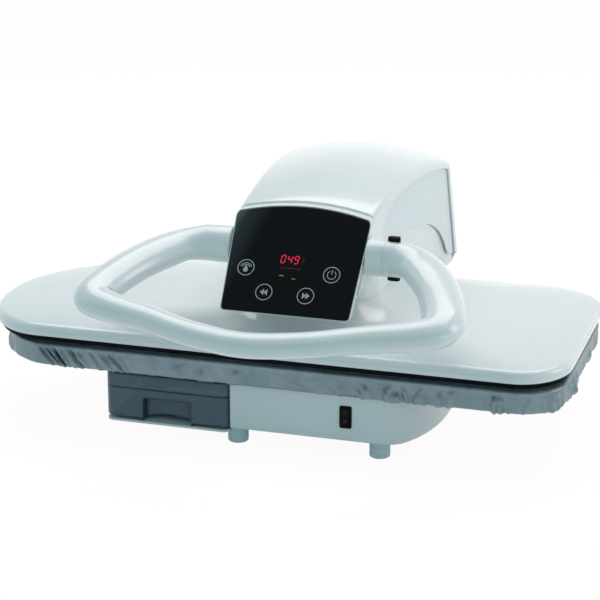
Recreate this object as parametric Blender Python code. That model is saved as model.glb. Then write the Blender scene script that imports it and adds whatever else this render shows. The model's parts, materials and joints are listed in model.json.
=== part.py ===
"""Steam ironing press with a hinged head, a loop handle and a slide-out water tank.

X runs along the plates, Y to the back and Z up. Everything is modelled about the middle of
the two plates, and the whole press is moved at the end so that its origin lies on the
surface that it stands on, under the middle of its outline.
"""
import math

import bmesh
import bpy
import numpy as np
from mathutils import Matrix, Vector

# Clearances
FIT_GAP = 0.0003
RUNNING_GAP = 0.0010
CUT_OVERRUN = 0.004

# Plan of the two plates, whose corner radii are shares of the length and of the width
PLATE_LENGTH = 0.790
PLATE_WIDTH = 0.360
NOSE_FRONT_SHARES = (0.1203, 0.3472)
HEEL_FRONT_SHARES = (0.0835, 0.2083)
HEEL_BACK_SHARES = (0.1076, 0.1944)
NOSE_BACK_SHARES = (0.4557, 0.6250)
LEAST_CORNER_RADIUS = 0.006
CORNER_STEPS = (8, 7, 7, 12)
OUTLINE_STEP = 0.060

# Feet and base housing
FOOT_HEIGHT = 0.024
FOOT_RADIUS = 0.0135
FOOT_EDGE_RADIUS = 0.003
BASE_TOP = 0.0860
BASE_FRONT = 0.166
BASE_OVERHANG = 0.082
BASE_BACK = PLATE_WIDTH / 2 + BASE_OVERHANG
BASE_RIGHT = 0.2205
BASE_LEFT_BACK = 0.228
BASE_SIDE_RADII = (0.072, 0.145)
BASE_SIDE_START = -52.5
BASE_SIDE_Y = -0.035
BASE_CORNER_RADIUS = 0.022
BASE_WALL = 0.0025
BASE_FLOOR = 0.0025
FOOT_FRONT_INSET = 0.021
FOOT_BACK_INSET = 0.050
FOOT_LEFT_FRONT_X = -0.0340
FOOT_RIGHT_X = 0.157
FOOT_LEFT_BACK_X = -0.175

# Water tank and the bay that it slides into
TANK_LEFT = 0.2100
TANK_RIGHT = 0.0405
TANK_DEPTH = 0.118
TANK_BOTTOM = 0.0225
TANK_SEAM = 0.0640
TANK_WALL = 0.0022
TANK_CORNER_RADIUS = 0.007
TANK_EDGE_RADIUS = 0.004
TANK_TRAVEL = 0.125
BAY_WALL_THICKNESS = 0.004
LID_TOP = 0.0835
WELL_FLOOR = 0.0703
WELL_RADIUS = 0.0262
WELL_FLOOR_THICKNESS = 0.0025
WELL_SIDES = 24
CAP_RADIUS = 0.0240
CAP_THICKNESS = 0.0050
CAP_NECK_RADIUS = 0.0190
CAP_NECK_DEPTH = 0.0080
CAP_SETBACK = 0.040
CAP_RIB = (0.0300, 0.0050, 0.0035)
CAP_EDGE = 0.0020
PULL_WIDTH = 0.066
PULL_HEIGHT = 0.030
PULL_DEPTH = 0.010
TRAY_BOTTOM = 0.0165
TRAY_THICKNESS = 0.0030
TRAY_LIP = 0.0040
TRAY_ARM_LENGTH = 0.060
OUTLET_RADIUS = 0.0060
OUTLET_RISE = 0.0140
OUTLET_LENGTH = 0.0120

# Ironing board, a little shorter than the upper plate at the nose and squarer at the heel
BOARD_NOSE_INSET = 0.0130
BOARD_HEEL_SHARES = (0.0829, 0.1625)
BOARD_BOTTOM = 0.0895
DECK_THICKNESS = 0.0015
DECK_INSET = 0.0120
DECK_SEATS = ((-0.010, -0.105), (0.150, -0.105), (0.150, 0.090), (-0.150, 0.090))
PAD_INSET = 0.0075
COVER_INSET = 0.0035
CLOTH_THICKNESS = 0.0022
CLOTH_TURN_IN = 0.026
CLOTH_EDGE_RADIUS = 0.006
CLOTH_SHOULDER_SHARE = 0.3
CLOTH_TUCK_SHARE = 0.4
CLOTH_SHOULDER_FULLNESS = 0.2
CLOTH_SIDE_FULLNESS = 0.5
GATHER_DEPTH = 0.0011
GATHER_COUNTS = (29, 17, 11)
CLOTH_STEP = 0.028
PRESS_LINE = 0.1185

# Upper plate
HEATER_THICKNESS = 0.0048
HEATER_INSET = 0.0150
STEAM_HOLE_RADIUS = 0.0022
STEAM_HOLE_PITCH = 0.052
STEAM_HOLE_COUNT = 11
STEAM_HOLE_SIDES = 6
STEAM_ROW_OFFSETS = (-0.055, 0.055)
CASTING_THICKNESS = 0.0080
CASTING_INSET = 0.080
SURROUND_OUTER_INSET = 0.0055
SURROUND_INNER_INSET = 0.0125
SURROUND_SEAT_INSET = 0.0220
SURROUND_HEIGHT = 0.0102
COVER_RIM = 0.1290
COVER_WALL_HEIGHT = 0.0155
COVER_EDGE_RADIUS = 0.0085
COVER_THICKNESS = 0.0028
COVER_CROWN = 0.0065
DOME_RISE = 0.0230
DOME_WIDTH = 0.058

# Head, its sides and its roof
HEAD_X = 0.031
PANEL_FRONT = 0.1547
PANEL_BOTTOM = 0.1799
PANEL_HEIGHT = 0.1449
PANEL_LEAN = math.radians(40.0)
PANEL_BOTTOM_WIDTH = 0.173
PANEL_TOP_WIDTH = 0.182
PANEL_ARCH = 0.0130
PANEL_TOP_RADIUS = 0.013
PANEL_BOTTOM_RADIUS = 0.006
BEZEL_DEPTH = 0.0085
BEZEL_LIP = 0.0013
BEZEL_FLOOR = 0.0016
BEZEL_EDGE = 0.0005
GLASS_THICKNESS = 0.0025
GLASS_PROUD = 0.0006
HEAD_OVERHANG = 0.107
HEAD_BACK = PLATE_WIDTH / 2 + HEAD_OVERHANG
HEAD_WALL = 0.0025
RIDGE_HALF_FRONT = 0.0912
RIDGE_HALF_BACK = 0.1110
RIDGE_FRONT_HEIGHT = 0.2910
RIDGE_RISE = 0.0207
RIDGE_FULLNESS = 0.85
RIDGE_BACK_HEIGHT = 0.2800
ROOF_ARCH_FRONT = 0.0100
ROOF_ARCH_BACK = 0.0190
SHOULDER_RADIUS = 0.0100
DRAFT_FRONT = math.radians(-1.5)
DRAFT_BACK = math.radians(6.0)
SKIRT_EDGE_HEIGHTS = (0.205, 0.208, 0.212, 0.226, 0.239, 0.243, 0.231, 0.218, 0.198, 0.178, 0.152, 0.146)
SKIRT_EDGE_SHARES = (0.0, 0.06, 0.12, 0.17, 0.22, 0.316, 0.537, 0.715, 0.83, 0.885, 0.93, 1.0)
WINDOW_RIM = 0.0115
WINDOW_FRONT_SHARE = 0.15
WINDOW_CORNER_SHARE = 0.149
WINDOW_CORNER_DROP = 0.0184
WINDOW_STEPS = 14
WINDOW_BACK_MARGIN = 0.0095
SIDE_PANEL_RECESS = 0.0028
SIDE_PANEL_THICKNESS = 0.0022
SIDE_PANEL_GAP = 0.0006
BACK_COVER_GAP = 0.0006

# Neck between the upper plate and the head
NECK_FRONT = 0.062
NECK_BACK_INSET = 0.014
NECK_BACK = PLATE_WIDTH / 2 - NECK_BACK_INSET
NECK_FRONT_HALF = 0.0880
NECK_CORNER_RADIUS = 0.052
NECK_WALL = 0.0025
NECK_COLLAR = 0.0036
NECK_OVERLAP = 0.011
NECK_FRONT_TOP = 0.2150
NECK_TAIL_BOTTOM = 0.1340
NECK_SIDE_GAP = 0.0012
FLOOR_HEIGHT = 0.2060
FLOOR_THICKNESS = 0.0022

# Main hinge, behind the plates
HINGE_SETBACK = 0.039
HINGE_Y = PLATE_WIDTH / 2 + HINGE_SETBACK
HINGE_Z = 0.150
HINGE_PIN_RADIUS = 0.0080
HINGE_BUSH_RADIUS = 0.0125
HINGE_BUSH_FLANGE = 0.0020
TOWER_HALF_WIDTH = 0.062
TOWER_DEPTH = 0.052
TOWER_TOP = 0.112
TOWER_WALL = 0.003
CHEEK_THICKNESS = 0.008
CHEEK_HEAD_RADIUS = 0.0235
ARM_THICKNESS = 0.0035
ARM_GAP = 0.0034
ARM_EYE_RADIUS = 0.024
PIN_HEAD_RADIUS = 0.0130
PIN_HEAD_THICKNESS = 0.0030
SPRING_WIRE = 0.0014
SPRING_TURNS = 5
SPRING_PITCH = 0.0034
HOSE_RADIUS = 0.0036
HOSE_BEND = 0.012

# Head frame
ARM_LOWER = 0.1800
ARM_UPPER = 0.2600
ARM_PANEL_TOP = 0.114
ARM_PANEL_BOTTOM = 0.083
ARM_OVER_NECK = 0.2320
CARRIER_THICKNESS = 0.0040
CARRIER_FRONT = 0.020
CARRIER_BACK = PLATE_WIDTH / 2 - CASTING_INSET
POST_RADIUS = 0.0065
POST_INSET = (0.022, 0.018)
THERMOSTAT_RADIUS = 0.010
THERMOSTAT_HEIGHT = 0.012

# Handle
HANDLE_Y = -0.078
HANDLE_Z = 0.2447
HANDLE_TILT = math.radians(11.5)
HANDLE_REACH = 0.2240
HANDLE_DEPTH = 0.2445
HUB_END = 0.1145
HUB_RADIUS = 0.0243
HUB_EDGE = 0.0008
HUB_START = 0.0916
HUB_BORE = 0.0053
HUB_SLEEVE_RADIUS = 0.0068
HANDLE_ROOT_RADIUS = 0.0240
HANDLE_ARM_HALVES = (0.0278, 0.0205)
HANDLE_GRIP_HALVES = (0.0182, 0.0152)
HANDLE_STRAIGHT = 0.012
HANDLE_BORE_DEPTH = 0.030
HANDLE_SIDES = 12
SHAFT_RADIUS = 0.0050
HANDLE_BEND = 0.0275
HANDLE_BEND_SHARES = (0.044, 0.85)
HANDLE_PLAN_SHARES = (
    (0.795, 0.155), (0.895, 0.312), (0.960, 0.468), (0.993, 0.578), (1.0, 0.640),
    (0.985, 0.694), (0.936, 0.735), (0.804, 0.785), (0.605, 0.845), (0.320, 0.945), (0.0, 1.0),
)
HANDLE_ARM_SHARES = (1.0, 1.0, 1.0, 0.98, 0.92, 0.80, 0.58, 0.33, 0.12, 0.0, 0.0)
STOP_START = 0.0014
STOP_LENGTH = 0.0165
STOP_WIDTH = 0.0100
STOP_HEIGHT = 0.0050
STOP_PEG_RADIUS = 0.0022
STOP_PEG_DEPTH = 0.0060

# Rocker switch in the front of the base
SWITCH_X = 0.117
SWITCH_Z = 0.0565
SWITCH_WIDTH = 0.0135
SWITCH_HEIGHT = 0.0275
SWITCH_FLANGE = 0.0018
SWITCH_FLANGE_RIM = 0.0013
SWITCH_BODY_DEPTH = 0.020
SWITCH_WALL = 0.0012
ROCKER_PROUD = 0.0022
ROCKER_SWING = math.radians(7.0)
ROCKER_DEPTH = 0.008

# Inner works
PUMP_RADIUS = 0.017
PUMP_LENGTH = 0.075
PUMP_X = 0.060
PUMP_Y = 0.000
PUMP_Z = 0.050
PUMP_NOZZLE_RADIUS = 0.0045
PUMP_NOZZLE_LENGTH = 0.010
PUMP_SADDLE_WIDTH = 0.020
POWER_BOARD = (0.095, 0.070, 0.0016)
POWER_BOARD_X = 0.060
POWER_BOARD_Y = 0.120
POWER_BOARD_STANDOFF = 0.008
STANDOFF_RADIUS = 0.0035
INLET_X = -0.110
INLET_WIDTH = 0.030
INLET_HEIGHT = 0.024
INLET_FLANGE = 0.002
INLET_FLANGE_RIM = 0.004
INLET_DEPTH = 0.018
INLET_POCKET_WALL = 0.003
DISPLAY_SIZE = (0.056, 0.024, 0.0022)
DISPLAY_BOARD_SIZE = (0.140, 0.090, 0.0012)
DISPLAY_UP = 0.0687
ARC_STEPS = 6
ROUND_SIDES = 20
HOSE_SIDES = 6
WIRE_SIDES = 5


def clear_scene():
    for item in list(bpy.data.objects):
        bpy.data.objects.remove(item, do_unlink=True)


def make_material(name, colour, roughness, metallic=0.0, transmission=0.0):
    mat = bpy.data.materials.new(name)
    mat.use_nodes = True
    shader = mat.node_tree.nodes["Principled BSDF"]
    shader.inputs["Base Color"].default_value = (*colour, 1.0)
    shader.inputs["Roughness"].default_value = roughness
    shader.inputs["Metallic"].default_value = metallic
    shader.inputs["Transmission Weight"].default_value = transmission
    mat.diffuse_color = (*colour, 1.0)
    return mat


def add_carrier(name, place, parent=None):
    """An empty on the axis of a moving body, or at the middle of the fixed one."""
    carrier = bpy.data.objects.new(name, None)
    bpy.context.collection.objects.link(carrier)
    parent_place = Vector((0, 0, 0))
    if parent is not None:
        carrier.parent = parent
        parent_place = Vector(parent["place"])
    carrier.location = Vector(place) - parent_place
    carrier["place"] = tuple(place)
    return carrier


def add_piece(name, bm, mat, carrier, sharp_angle=math.radians(35)):
    """Make an object of a mesh built in press coordinates and hang it on its carrier."""
    place = Vector(carrier["place"])
    bmesh.ops.translate(bm, verts=bm.verts, vec=-place)
    bmesh.ops.recalc_face_normals(bm, faces=bm.faces)
    mesh = bpy.data.meshes.new(name)
    bm.to_mesh(mesh)
    bm.free()
    mesh.materials.append(mat)
    mesh.shade_smooth()
    mesh.set_sharp_from_angle(angle=sharp_angle)
    piece = bpy.data.objects.new(name, mesh)
    bpy.context.collection.objects.link(piece)
    piece.parent = carrier
    return piece


def cut(piece, bm, name, carrier, operation="DIFFERENCE"):
    """Cut a piece, or join to it, with a hidden mesh built in press coordinates."""
    cutter = add_piece(name, bm, piece.data.materials[0], carrier)
    cutter.hide_render = True
    cutter.display_type = "WIRE"
    modifier = piece.modifiers.new(name, "BOOLEAN")
    modifier.operation = operation
    modifier.solver = "EXACT"
    modifier.object = cutter


def lerp(first, last, share):
    return first + (last - first) * share


def smooth_step(share):
    share = min(max(share, 0.0), 1.0)
    return share * share * (3.0 - 2.0 * share)


def loft(rings, cap_start=True, cap_end=True):
    """Join rings of as many points each into one closed skin with flat ends."""
    bm = bmesh.new()
    rows = [[bm.verts.new(point) for point in ring] for ring in rings]
    count = len(rows[0])
    for lower, upper in zip(rows, rows[1:]):
        for i in range(count):
            j = (i + 1) % count
            bm.faces.new((lower[i], lower[j], upper[j], upper[i]))
    if cap_start:
        bm.faces.new(list(reversed(rows[0])))
    if cap_end:
        bm.faces.new(rows[-1])
    return bm


def closed_loft(rings):
    """A loft whose last ring runs on into its first, such as a hollow band."""
    bm = bmesh.new()
    rows = [[bm.verts.new(point) for point in ring] for ring in rings]
    count = len(rows[0])
    for k, lower in enumerate(rows):
        upper = rows[(k + 1) % len(rows)]
        for i in range(count):
            j = (i + 1) % count
            bm.faces.new((lower[i], lower[j], upper[j], upper[i]))
    return bm


def flat_ring(outline, height):
    return [(x, y, height) for x, y in outline]


def prism(outline, bottom, top):
    return loft([flat_ring(outline, bottom), flat_ring(outline, top)])


def side_prism(outline, left, right):
    """A prism along X from an outline of (y, z) points."""
    return loft([[(x, y, z) for y, z in outline] for x in (left, right)])


def box(x_range, y_range, z_range, edge=0.0):
    bm = prism(rectangle(x_range, y_range), *z_range)
    if edge:
        bmesh.ops.bevel(bm, geom=bm.edges, offset=edge, segments=2, profile=0.7, affect="EDGES")
    return bm


def rectangle(x_range, y_range):
    (left, right), (front, back) = x_range, y_range
    return [(left, front), (right, front), (right, back), (left, back)]


def arc(centre, radii, start, end, steps):
    """Points on an ellipse from one angle to another, in degrees."""
    points = []
    for i in range(steps + 1):
        angle = math.radians(lerp(start, end, i / steps))
        points.append((centre[0] + radii[0] * math.cos(angle), centre[1] + radii[1] * math.sin(angle)))
    return points


def rounded_box_outline(x_range, y_range, corners, steps):
    """Outline with an elliptic corner each, from the front left one counterclockwise."""
    (left, right), (front, back) = x_range, y_range
    front_left, front_right, back_right, back_left = corners
    outline = arc((left + front_left[0], front + front_left[1]), front_left, 180, 270, steps[0])
    outline += arc((right - front_right[0], front + front_right[1]), front_right, 270, 360, steps[1])
    outline += arc((right - back_right[0], back - back_right[1]), back_right, 0, 90, steps[2])
    outline += arc((left + back_left[0], back - back_left[1]), back_left, 90, 180, steps[3])
    return outline


def round_rectangle(x_range, y_range, radius, steps=ARC_STEPS):
    return rounded_box_outline(x_range, y_range, [(radius, radius)] * 4, [steps] * 4)


def offset_outline(outline, distance, closed=True):
    """Move each point of an outline inward, square to the outline."""
    points = [Vector(point) for point in outline]
    count = len(points)
    moved = []
    for i, point in enumerate(points):
        before = points[i - 1] if closed or i > 0 else None
        after = points[(i + 1) % count] if closed or i < count - 1 else None
        directions = []
        if before is not None and (point - before).length:
            directions.append((point - before).normalized())
        if after is not None and (after - point).length:
            directions.append((after - point).normalized())
        normals = [Vector((-direction.y, direction.x)) for direction in directions]
        middle = sum(normals, Vector((0, 0))).normalized()
        moved.append(tuple(point + middle * (distance / max(middle.dot(normals[0]), 0.3))))
    return moved


def divide_outline(outline, longest):
    """Add points so that no side of the outline is longer than the given length."""
    points = []
    for start, end in zip(outline, outline[1:] + outline[:1]):
        start, end = Vector(start), Vector(end)
        pieces = max(1, math.ceil((end - start).length / longest))
        points += [tuple(start.lerp(end, i / pieces)) for i in range(pieces)]
    return points


def ray_hit(outline, centre, toward):
    """The point where a ray from inside an outline leaves it."""
    centre, toward = Vector(centre), Vector(toward)
    direction = toward - centre
    best = None
    for start, end in zip(outline, outline[1:] + outline[:1]):
        start = Vector(start)
        side = Vector(end) - start
        across = direction.x * side.y - direction.y * side.x
        if not across:
            continue
        reach = start - centre
        along = (reach.x * side.y - reach.y * side.x) / across
        share = (reach.x * direction.y - reach.y * direction.x) / across
        if along > 0 and -0.001 <= share <= 1.001:
            best = along if best is None else max(best, along)
    return tuple(centre + direction * best)


def oval_sweep(points, halves, sides, up):
    """An oval tube along a flat path, with flat ends and a half width and height at each point."""
    points = [Vector(point) for point in points]
    up = Vector(up)
    rings = []
    for i, point in enumerate(points):
        before = points[max(i - 1, 0)]
        after = points[min(i + 1, len(points) - 1)]
        tangent = (after - before).normalized()
        across = tangent.cross(up).normalized()
        rise = across.cross(tangent)
        ring = []
        for k in range(sides):
            angle = math.tau * k / sides
            width, height = halves[i]
            ring.append(point + across * math.cos(angle) * width + rise * math.sin(angle) * height)
        rings.append(ring)
    return loft(rings)


def frame_sweep(points, radius, sides):
    """A round tube along any path, turned as little as possible from point to point."""
    points = [Vector(point) for point in points]
    tangents = []
    for i in range(len(points)):
        tangents.append((points[min(i + 1, len(points) - 1)] - points[max(i - 1, 0)]).normalized())
    across = tangents[0].orthogonal().normalized()
    rings = []
    for point, tangent in zip(points, tangents):
        across = (across - tangent * across.dot(tangent)).normalized()
        rise = tangent.cross(across)
        ring = []
        for k in range(sides):
            angle = math.tau * k / sides
            ring.append(point + (across * math.cos(angle) + rise * math.sin(angle)) * radius)
        rings.append(ring)
    return loft(rings)


def smooth_path(points, steps):
    """Points on a smooth curve through the given ones."""
    points = [Vector(point) for point in points]
    path = []
    for i in range(len(points) - 1):
        before = points[max(i - 1, 0)]
        start = points[i]
        end = points[i + 1]
        after = points[min(i + 2, len(points) - 1)]
        for k in range(steps):
            t = k / steps
            point = 2 * start + (end - before) * t
            point += (2 * before - 5 * start + 4 * end - after) * t ** 2
            point += (3 * start - before - 3 * end + after) * t ** 3
            path.append(point / 2)
    path.append(points[-1])
    return path


def hose_path(points, steps):
    """A smooth path whose first and last lengths stay straight."""
    return [Vector(points[0])] + smooth_path(points[1:-1], steps) + [Vector(points[-1])]


def turned(profile, centre, axis, sides=ROUND_SIDES):
    """A solid of revolution from (distance along the axis, radius) points."""
    frame = Vector(axis).normalized().to_track_quat("Z", "Y").to_matrix()
    centre = Vector(centre)
    rings = []
    for along, radius in profile:
        ring = []
        for k in range(sides):
            angle = math.tau * k / sides
            spoke = Vector((radius * math.cos(angle), radius * math.sin(angle), along))
            ring.append(centre + frame @ spoke)
        rings.append(ring)
    return rings


def turned_solid(profile, centre, axis, sides=ROUND_SIDES):
    return loft(turned(profile, centre, axis, sides))


def turned_ring(profile, centre, axis, sides=ROUND_SIDES):
    return closed_loft(turned(profile, centre, axis, sides))


def rod_profile(start, end, radius, edge=0.0):
    if not edge:
        return [(start, radius), (end, radius)]
    return [(start, radius - edge), (start + edge, radius), (end - edge, radius), (end, radius - edge)]


def plate_outline(inset, longest=OUTLINE_STEP, nose=0.0, heel_front=HEEL_FRONT_SHARES):
    """Plan of the plates: a square heel at the right and a long nose at the left."""
    corners = []
    for shares in (NOSE_FRONT_SHARES, heel_front, HEEL_BACK_SHARES, NOSE_BACK_SHARES):
        radii = (shares[0] * PLATE_LENGTH, shares[1] * PLATE_WIDTH)
        corners.append([max(radius - inset, LEAST_CORNER_RADIUS) for radius in radii])
    half_length = PLATE_LENGTH / 2 - inset
    half_width = PLATE_WIDTH / 2 - inset
    ends = (-half_length + nose, half_length)
    outline = rounded_box_outline(ends, (-half_width, half_width), corners, CORNER_STEPS)
    return divide_outline(outline, longest)


def board_outline(inset, longest=OUTLINE_STEP):
    return plate_outline(inset, longest, BOARD_NOSE_INSET, BOARD_HEEL_SHARES)


def head_front(height):
    """Depth of the plane behind the control panel at a height."""
    behind = (BEZEL_DEPTH + FIT_GAP) / math.cos(PANEL_LEAN)
    return -PANEL_FRONT + behind + (height - PANEL_BOTTOM) * math.tan(PANEL_LEAN)


def head_depth(share, height):
    """Depth of a point of the head: share 0 is at the panel and share 1 at the back."""
    return lerp(head_front(height), HEAD_BACK, share)


def ridge_height(share):
    """The ridge rises from the panel, is level over the neck and falls to the back."""
    rise = RIDGE_RISE * (4.0 * share * (1.0 - share)) ** RIDGE_FULLNESS
    return lerp(RIDGE_FRONT_HEIGHT, RIDGE_BACK_HEIGHT, share) + rise


def lower_height(share):
    """Lower edge of the head's sides, which arches over the neck."""
    return float(np.interp(share, SKIRT_EDGE_SHARES, SKIRT_EDGE_HEIGHTS))


def head_half_width(share, height):
    draft = math.tan(lerp(DRAFT_FRONT, DRAFT_BACK, share))
    return lerp(RIDGE_HALF_FRONT, RIDGE_HALF_BACK, share) + draft * (ridge_height(share) - height)


def share_at(depth, height):
    front = head_front(height)
    return (depth - front) / (HEAD_BACK - front)


def head_section(share, steps=4):
    """Outer half of the head's section as (x from the middle, z), from the lower edge up."""
    ridge = ridge_height(share)
    low = lower_height(share)
    half = lerp(RIDGE_HALF_FRONT, RIDGE_HALF_BACK, share)
    arch = lerp(ROOF_ARCH_FRONT, ROOF_ARCH_BACK, share)
    side_top = ridge - SHOULDER_RADIUS
    points = []
    for i in range(steps):
        height = lerp(low, side_top, i / steps)
        points.append((head_half_width(share, height), height))
    roof_x = half - SHOULDER_RADIUS
    roof_z = ridge + arch * (1.0 - (roof_x / half) ** 2)
    for i in range(steps + 1):
        t = i / steps
        x = (1 - t) ** 2 * half + 2 * t * (1 - t) * half + t ** 2 * roof_x
        z = (1 - t) ** 2 * side_top + 2 * t * (1 - t) * ridge + t ** 2 * roof_z
        points.append((x, z))
    for i in range(1, steps + 2):
        x = lerp(roof_x, 0.0, i / (steps + 1))
        points.append((x, ridge + arch * (1.0 - (x / half) ** 2)))
    return points


def full_section(share):
    """Outer section from the left lower edge over the roof to the right lower edge."""
    right = head_section(share)
    left = [(-x, z) for x, z in right]
    return left[:-1] + right[::-1]


def neck_half_width(depth):
    """Half width of the neck, just inside the lower edge of the head's sides."""
    if depth < 0:
        return NECK_FRONT_HALF
    share = share_at(depth, lower_height(0.6))
    height = lower_height(share)
    inside = head_half_width(share, height) - SIDE_PANEL_RECESS - SIDE_PANEL_THICKNESS - NECK_SIDE_GAP
    blend = smooth_step(depth / NECK_BACK * 2.0)
    return lerp(NECK_FRONT_HALF, inside, blend)


def neck_side(depth_end, steps):
    """Right side of the neck in plan, from the middle of its front to a depth."""
    corner = arc((NECK_FRONT_HALF - NECK_CORNER_RADIUS, -NECK_FRONT + NECK_CORNER_RADIUS),
                 (NECK_CORNER_RADIUS, NECK_CORNER_RADIUS), 270, 360, ARC_STEPS)
    side = []
    start = -NECK_FRONT + NECK_CORNER_RADIUS
    for i in range(1, steps + 1):
        depth = lerp(start, depth_end, i / steps)
        side.append((neck_half_width(depth), depth))
    return [(0.0, -NECK_FRONT)] + corner + side


def neck_outline():
    """Closed plan of the neck where it stands on the upper plate's cover."""
    right = neck_side(NECK_BACK, ARC_STEPS)
    left = [(-x, y) for x, y in reversed(right[1:])]
    return [(x + HEAD_X, y) for x, y in right + left]


def build_materials():
    return {
        "white_shell": make_material("white_shell", (0.80, 0.83, 0.83), 0.22),
        "grey_shell": make_material("grey_shell", (0.55, 0.62, 0.64), 0.35),
        "black_gloss": make_material("black_gloss", (0.006, 0.007, 0.008), 0.06),
        "black_plastic": make_material("black_plastic", (0.015, 0.016, 0.018), 0.40),
        "smoke_clear": make_material("smoke_clear", (0.10, 0.14, 0.18), 0.10, 0.0, 0.6),
        "silver_cloth": make_material("silver_cloth", (0.30, 0.33, 0.34), 0.75),
        "pad_foam": make_material("pad_foam", (0.70, 0.66, 0.55), 0.95),
        "steel": make_material("steel", (0.55, 0.56, 0.57), 0.35, 1.0),
        "aluminium": make_material("aluminium", (0.72, 0.73, 0.74), 0.30, 1.0),
        "brass": make_material("brass", (0.72, 0.52, 0.22), 0.35, 1.0),
        "circuit_green": make_material("circuit_green", (0.03, 0.16, 0.06), 0.50),
        "hose_silicone": make_material("hose_silicone", (0.62, 0.62, 0.58), 0.50),
        "rubber": make_material("rubber", (0.45, 0.52, 0.56), 0.70),
    }


def bay_back():
    return -BASE_FRONT + TANK_DEPTH + RUNNING_GAP


def base_right_side():
    """Bulging right side of the base in plan, with a round corner between it and the front."""
    across, along = BASE_SIDE_RADII
    side = arc((BASE_RIGHT - across, BASE_SIDE_Y), BASE_SIDE_RADII, BASE_SIDE_START, 0, ARC_STEPS)
    start = math.radians(BASE_SIDE_START)
    outward = Vector((math.cos(start) / across, math.sin(start) / along)).normalized()
    x, y = side[0]
    radius = (y + BASE_FRONT) / (1.0 + outward.y)
    centre = (x - outward.x * radius, y - outward.y * radius)
    end = 360 + math.degrees(math.atan2(outward.y, outward.x))
    return arc(centre, (radius, radius), 270, end, ARC_STEPS)[:-1] + side


def base_outline():
    """Plan of the base housing, with the tank's bay at its front left."""
    bay_x = -TANK_RIGHT + RUNNING_GAP
    bay_y = bay_back()
    r = BASE_CORNER_RADIUS
    small = BAY_WALL_THICKNESS
    outline = arc((bay_x + small, -BASE_FRONT + small), (small, small), 180, 270, 3)
    outline += base_right_side()
    outline += arc((BASE_RIGHT - r, BASE_BACK - r), (r, r), 0, 90, ARC_STEPS)
    outline += arc((-BASE_LEFT_BACK + r, BASE_BACK - r), (r, r), 90, 180, ARC_STEPS)
    outline += [(-BASE_LEFT_BACK, bay_y + r)]
    outline += arc((-TANK_LEFT - small / 2, bay_y + small), (small, small), 190, 270, 3)
    outline += [(bay_x, bay_y)]
    return outline


def build_base(mats, fixed):
    outline = base_outline()
    inner = offset_outline(outline, BASE_WALL)
    plate = offset_outline(outline, BASE_WALL + FIT_GAP)
    roof = BASE_TOP - BASE_WALL
    edge = BASE_WALL / 2
    shell = loft([flat_ring(inner, roof), flat_ring(inner, FOOT_HEIGHT), flat_ring(outline, FOOT_HEIGHT),
                  flat_ring(outline, BASE_TOP - edge), flat_ring(offset_outline(outline, edge), BASE_TOP)])
    housing = add_piece("base_housing", shell, mats["white_shell"], fixed)
    switch_half = (SWITCH_WIDTH / 2 + FIT_GAP, SWITCH_HEIGHT / 2 + FIT_GAP)
    cut(housing, box((SWITCH_X - switch_half[0], SWITCH_X + switch_half[0]),
                     (-BASE_FRONT - CUT_OVERRUN, -BASE_FRONT + BASE_WALL + CUT_OVERRUN),
                     (SWITCH_Z - switch_half[1], SWITCH_Z + switch_half[1])), "switch_hole", fixed)
    inlet_half = (INLET_WIDTH / 2 + FIT_GAP, INLET_HEIGHT / 2 + FIT_GAP)
    middle = (FOOT_HEIGHT + BASE_TOP) / 2
    cut(housing, box((INLET_X - inlet_half[0], INLET_X + inlet_half[0]),
                     (BASE_BACK - BASE_WALL - CUT_OVERRUN, BASE_BACK + CUT_OVERRUN),
                     (middle - inlet_half[1], middle + inlet_half[1])), "inlet_hole", fixed)
    outlet = outlet_place()
    cut(housing, turned_solid(rod_profile(-CUT_OVERRUN, BASE_WALL + CUT_OVERRUN, OUTLET_RADIUS + RUNNING_GAP),
                              (outlet[0], bay_back(), outlet[2]), (0, 1, 0)), "outlet_hole", fixed)
    hose_hole = HOSE_RADIUS + RUNNING_GAP
    cut(housing, turned_solid(rod_profile(roof - CUT_OVERRUN, BASE_TOP + CUT_OVERRUN, hose_hole),
                              (HEAD_X + HOSE_BEND, HINGE_Y, 0), (0, 0, 1)), "hose_hole", fixed)
    add_piece("base_plate", prism(plate, FOOT_HEIGHT, FOOT_HEIGHT + BASE_FLOOR), mats["grey_shell"], fixed)
    for name, x, y in foot_places():
        edge = FOOT_EDGE_RADIUS
        profile = [(0, FOOT_RADIUS - edge), (edge / 3, FOOT_RADIUS - edge / 3), (edge, FOOT_RADIUS),
                   (FOOT_HEIGHT - FIT_GAP, FOOT_RADIUS)]
        foot = add_piece(name, turned_solid(profile, (x, y, 0), (0, 0, 1)), mats["rubber"], fixed)
        if x - FOOT_RADIUS < -TANK_RIGHT < x:
            reach = FOOT_RADIUS + CUT_OVERRUN
            flat = box((x - reach, -TANK_RIGHT + RUNNING_GAP), (y - reach, y + reach),
                       (TRAY_BOTTOM - RUNNING_GAP, FOOT_HEIGHT + CUT_OVERRUN))
            cut(foot, flat, "foot_flat", fixed)


def foot_places():
    front = -BASE_FRONT + FOOT_FRONT_INSET
    back = BASE_BACK - FOOT_BACK_INSET
    return (("foot_front_left", FOOT_LEFT_FRONT_X, front), ("foot_front_right", FOOT_RIGHT_X, front),
            ("foot_rear_left", FOOT_LEFT_BACK_X, back), ("foot_rear_right", FOOT_RIGHT_X, back))


def tank_span(margin=0.0):
    x_range = (-TANK_LEFT + margin, -TANK_RIGHT - margin)
    y_range = (-BASE_FRONT + margin, -BASE_FRONT + TANK_DEPTH - margin)
    return x_range, y_range


def tank_outline(inset):
    radius = max(TANK_CORNER_RADIUS - inset, TANK_WALL)
    x_range, y_range = tank_span(inset)
    return round_rectangle(x_range, y_range, radius)


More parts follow.
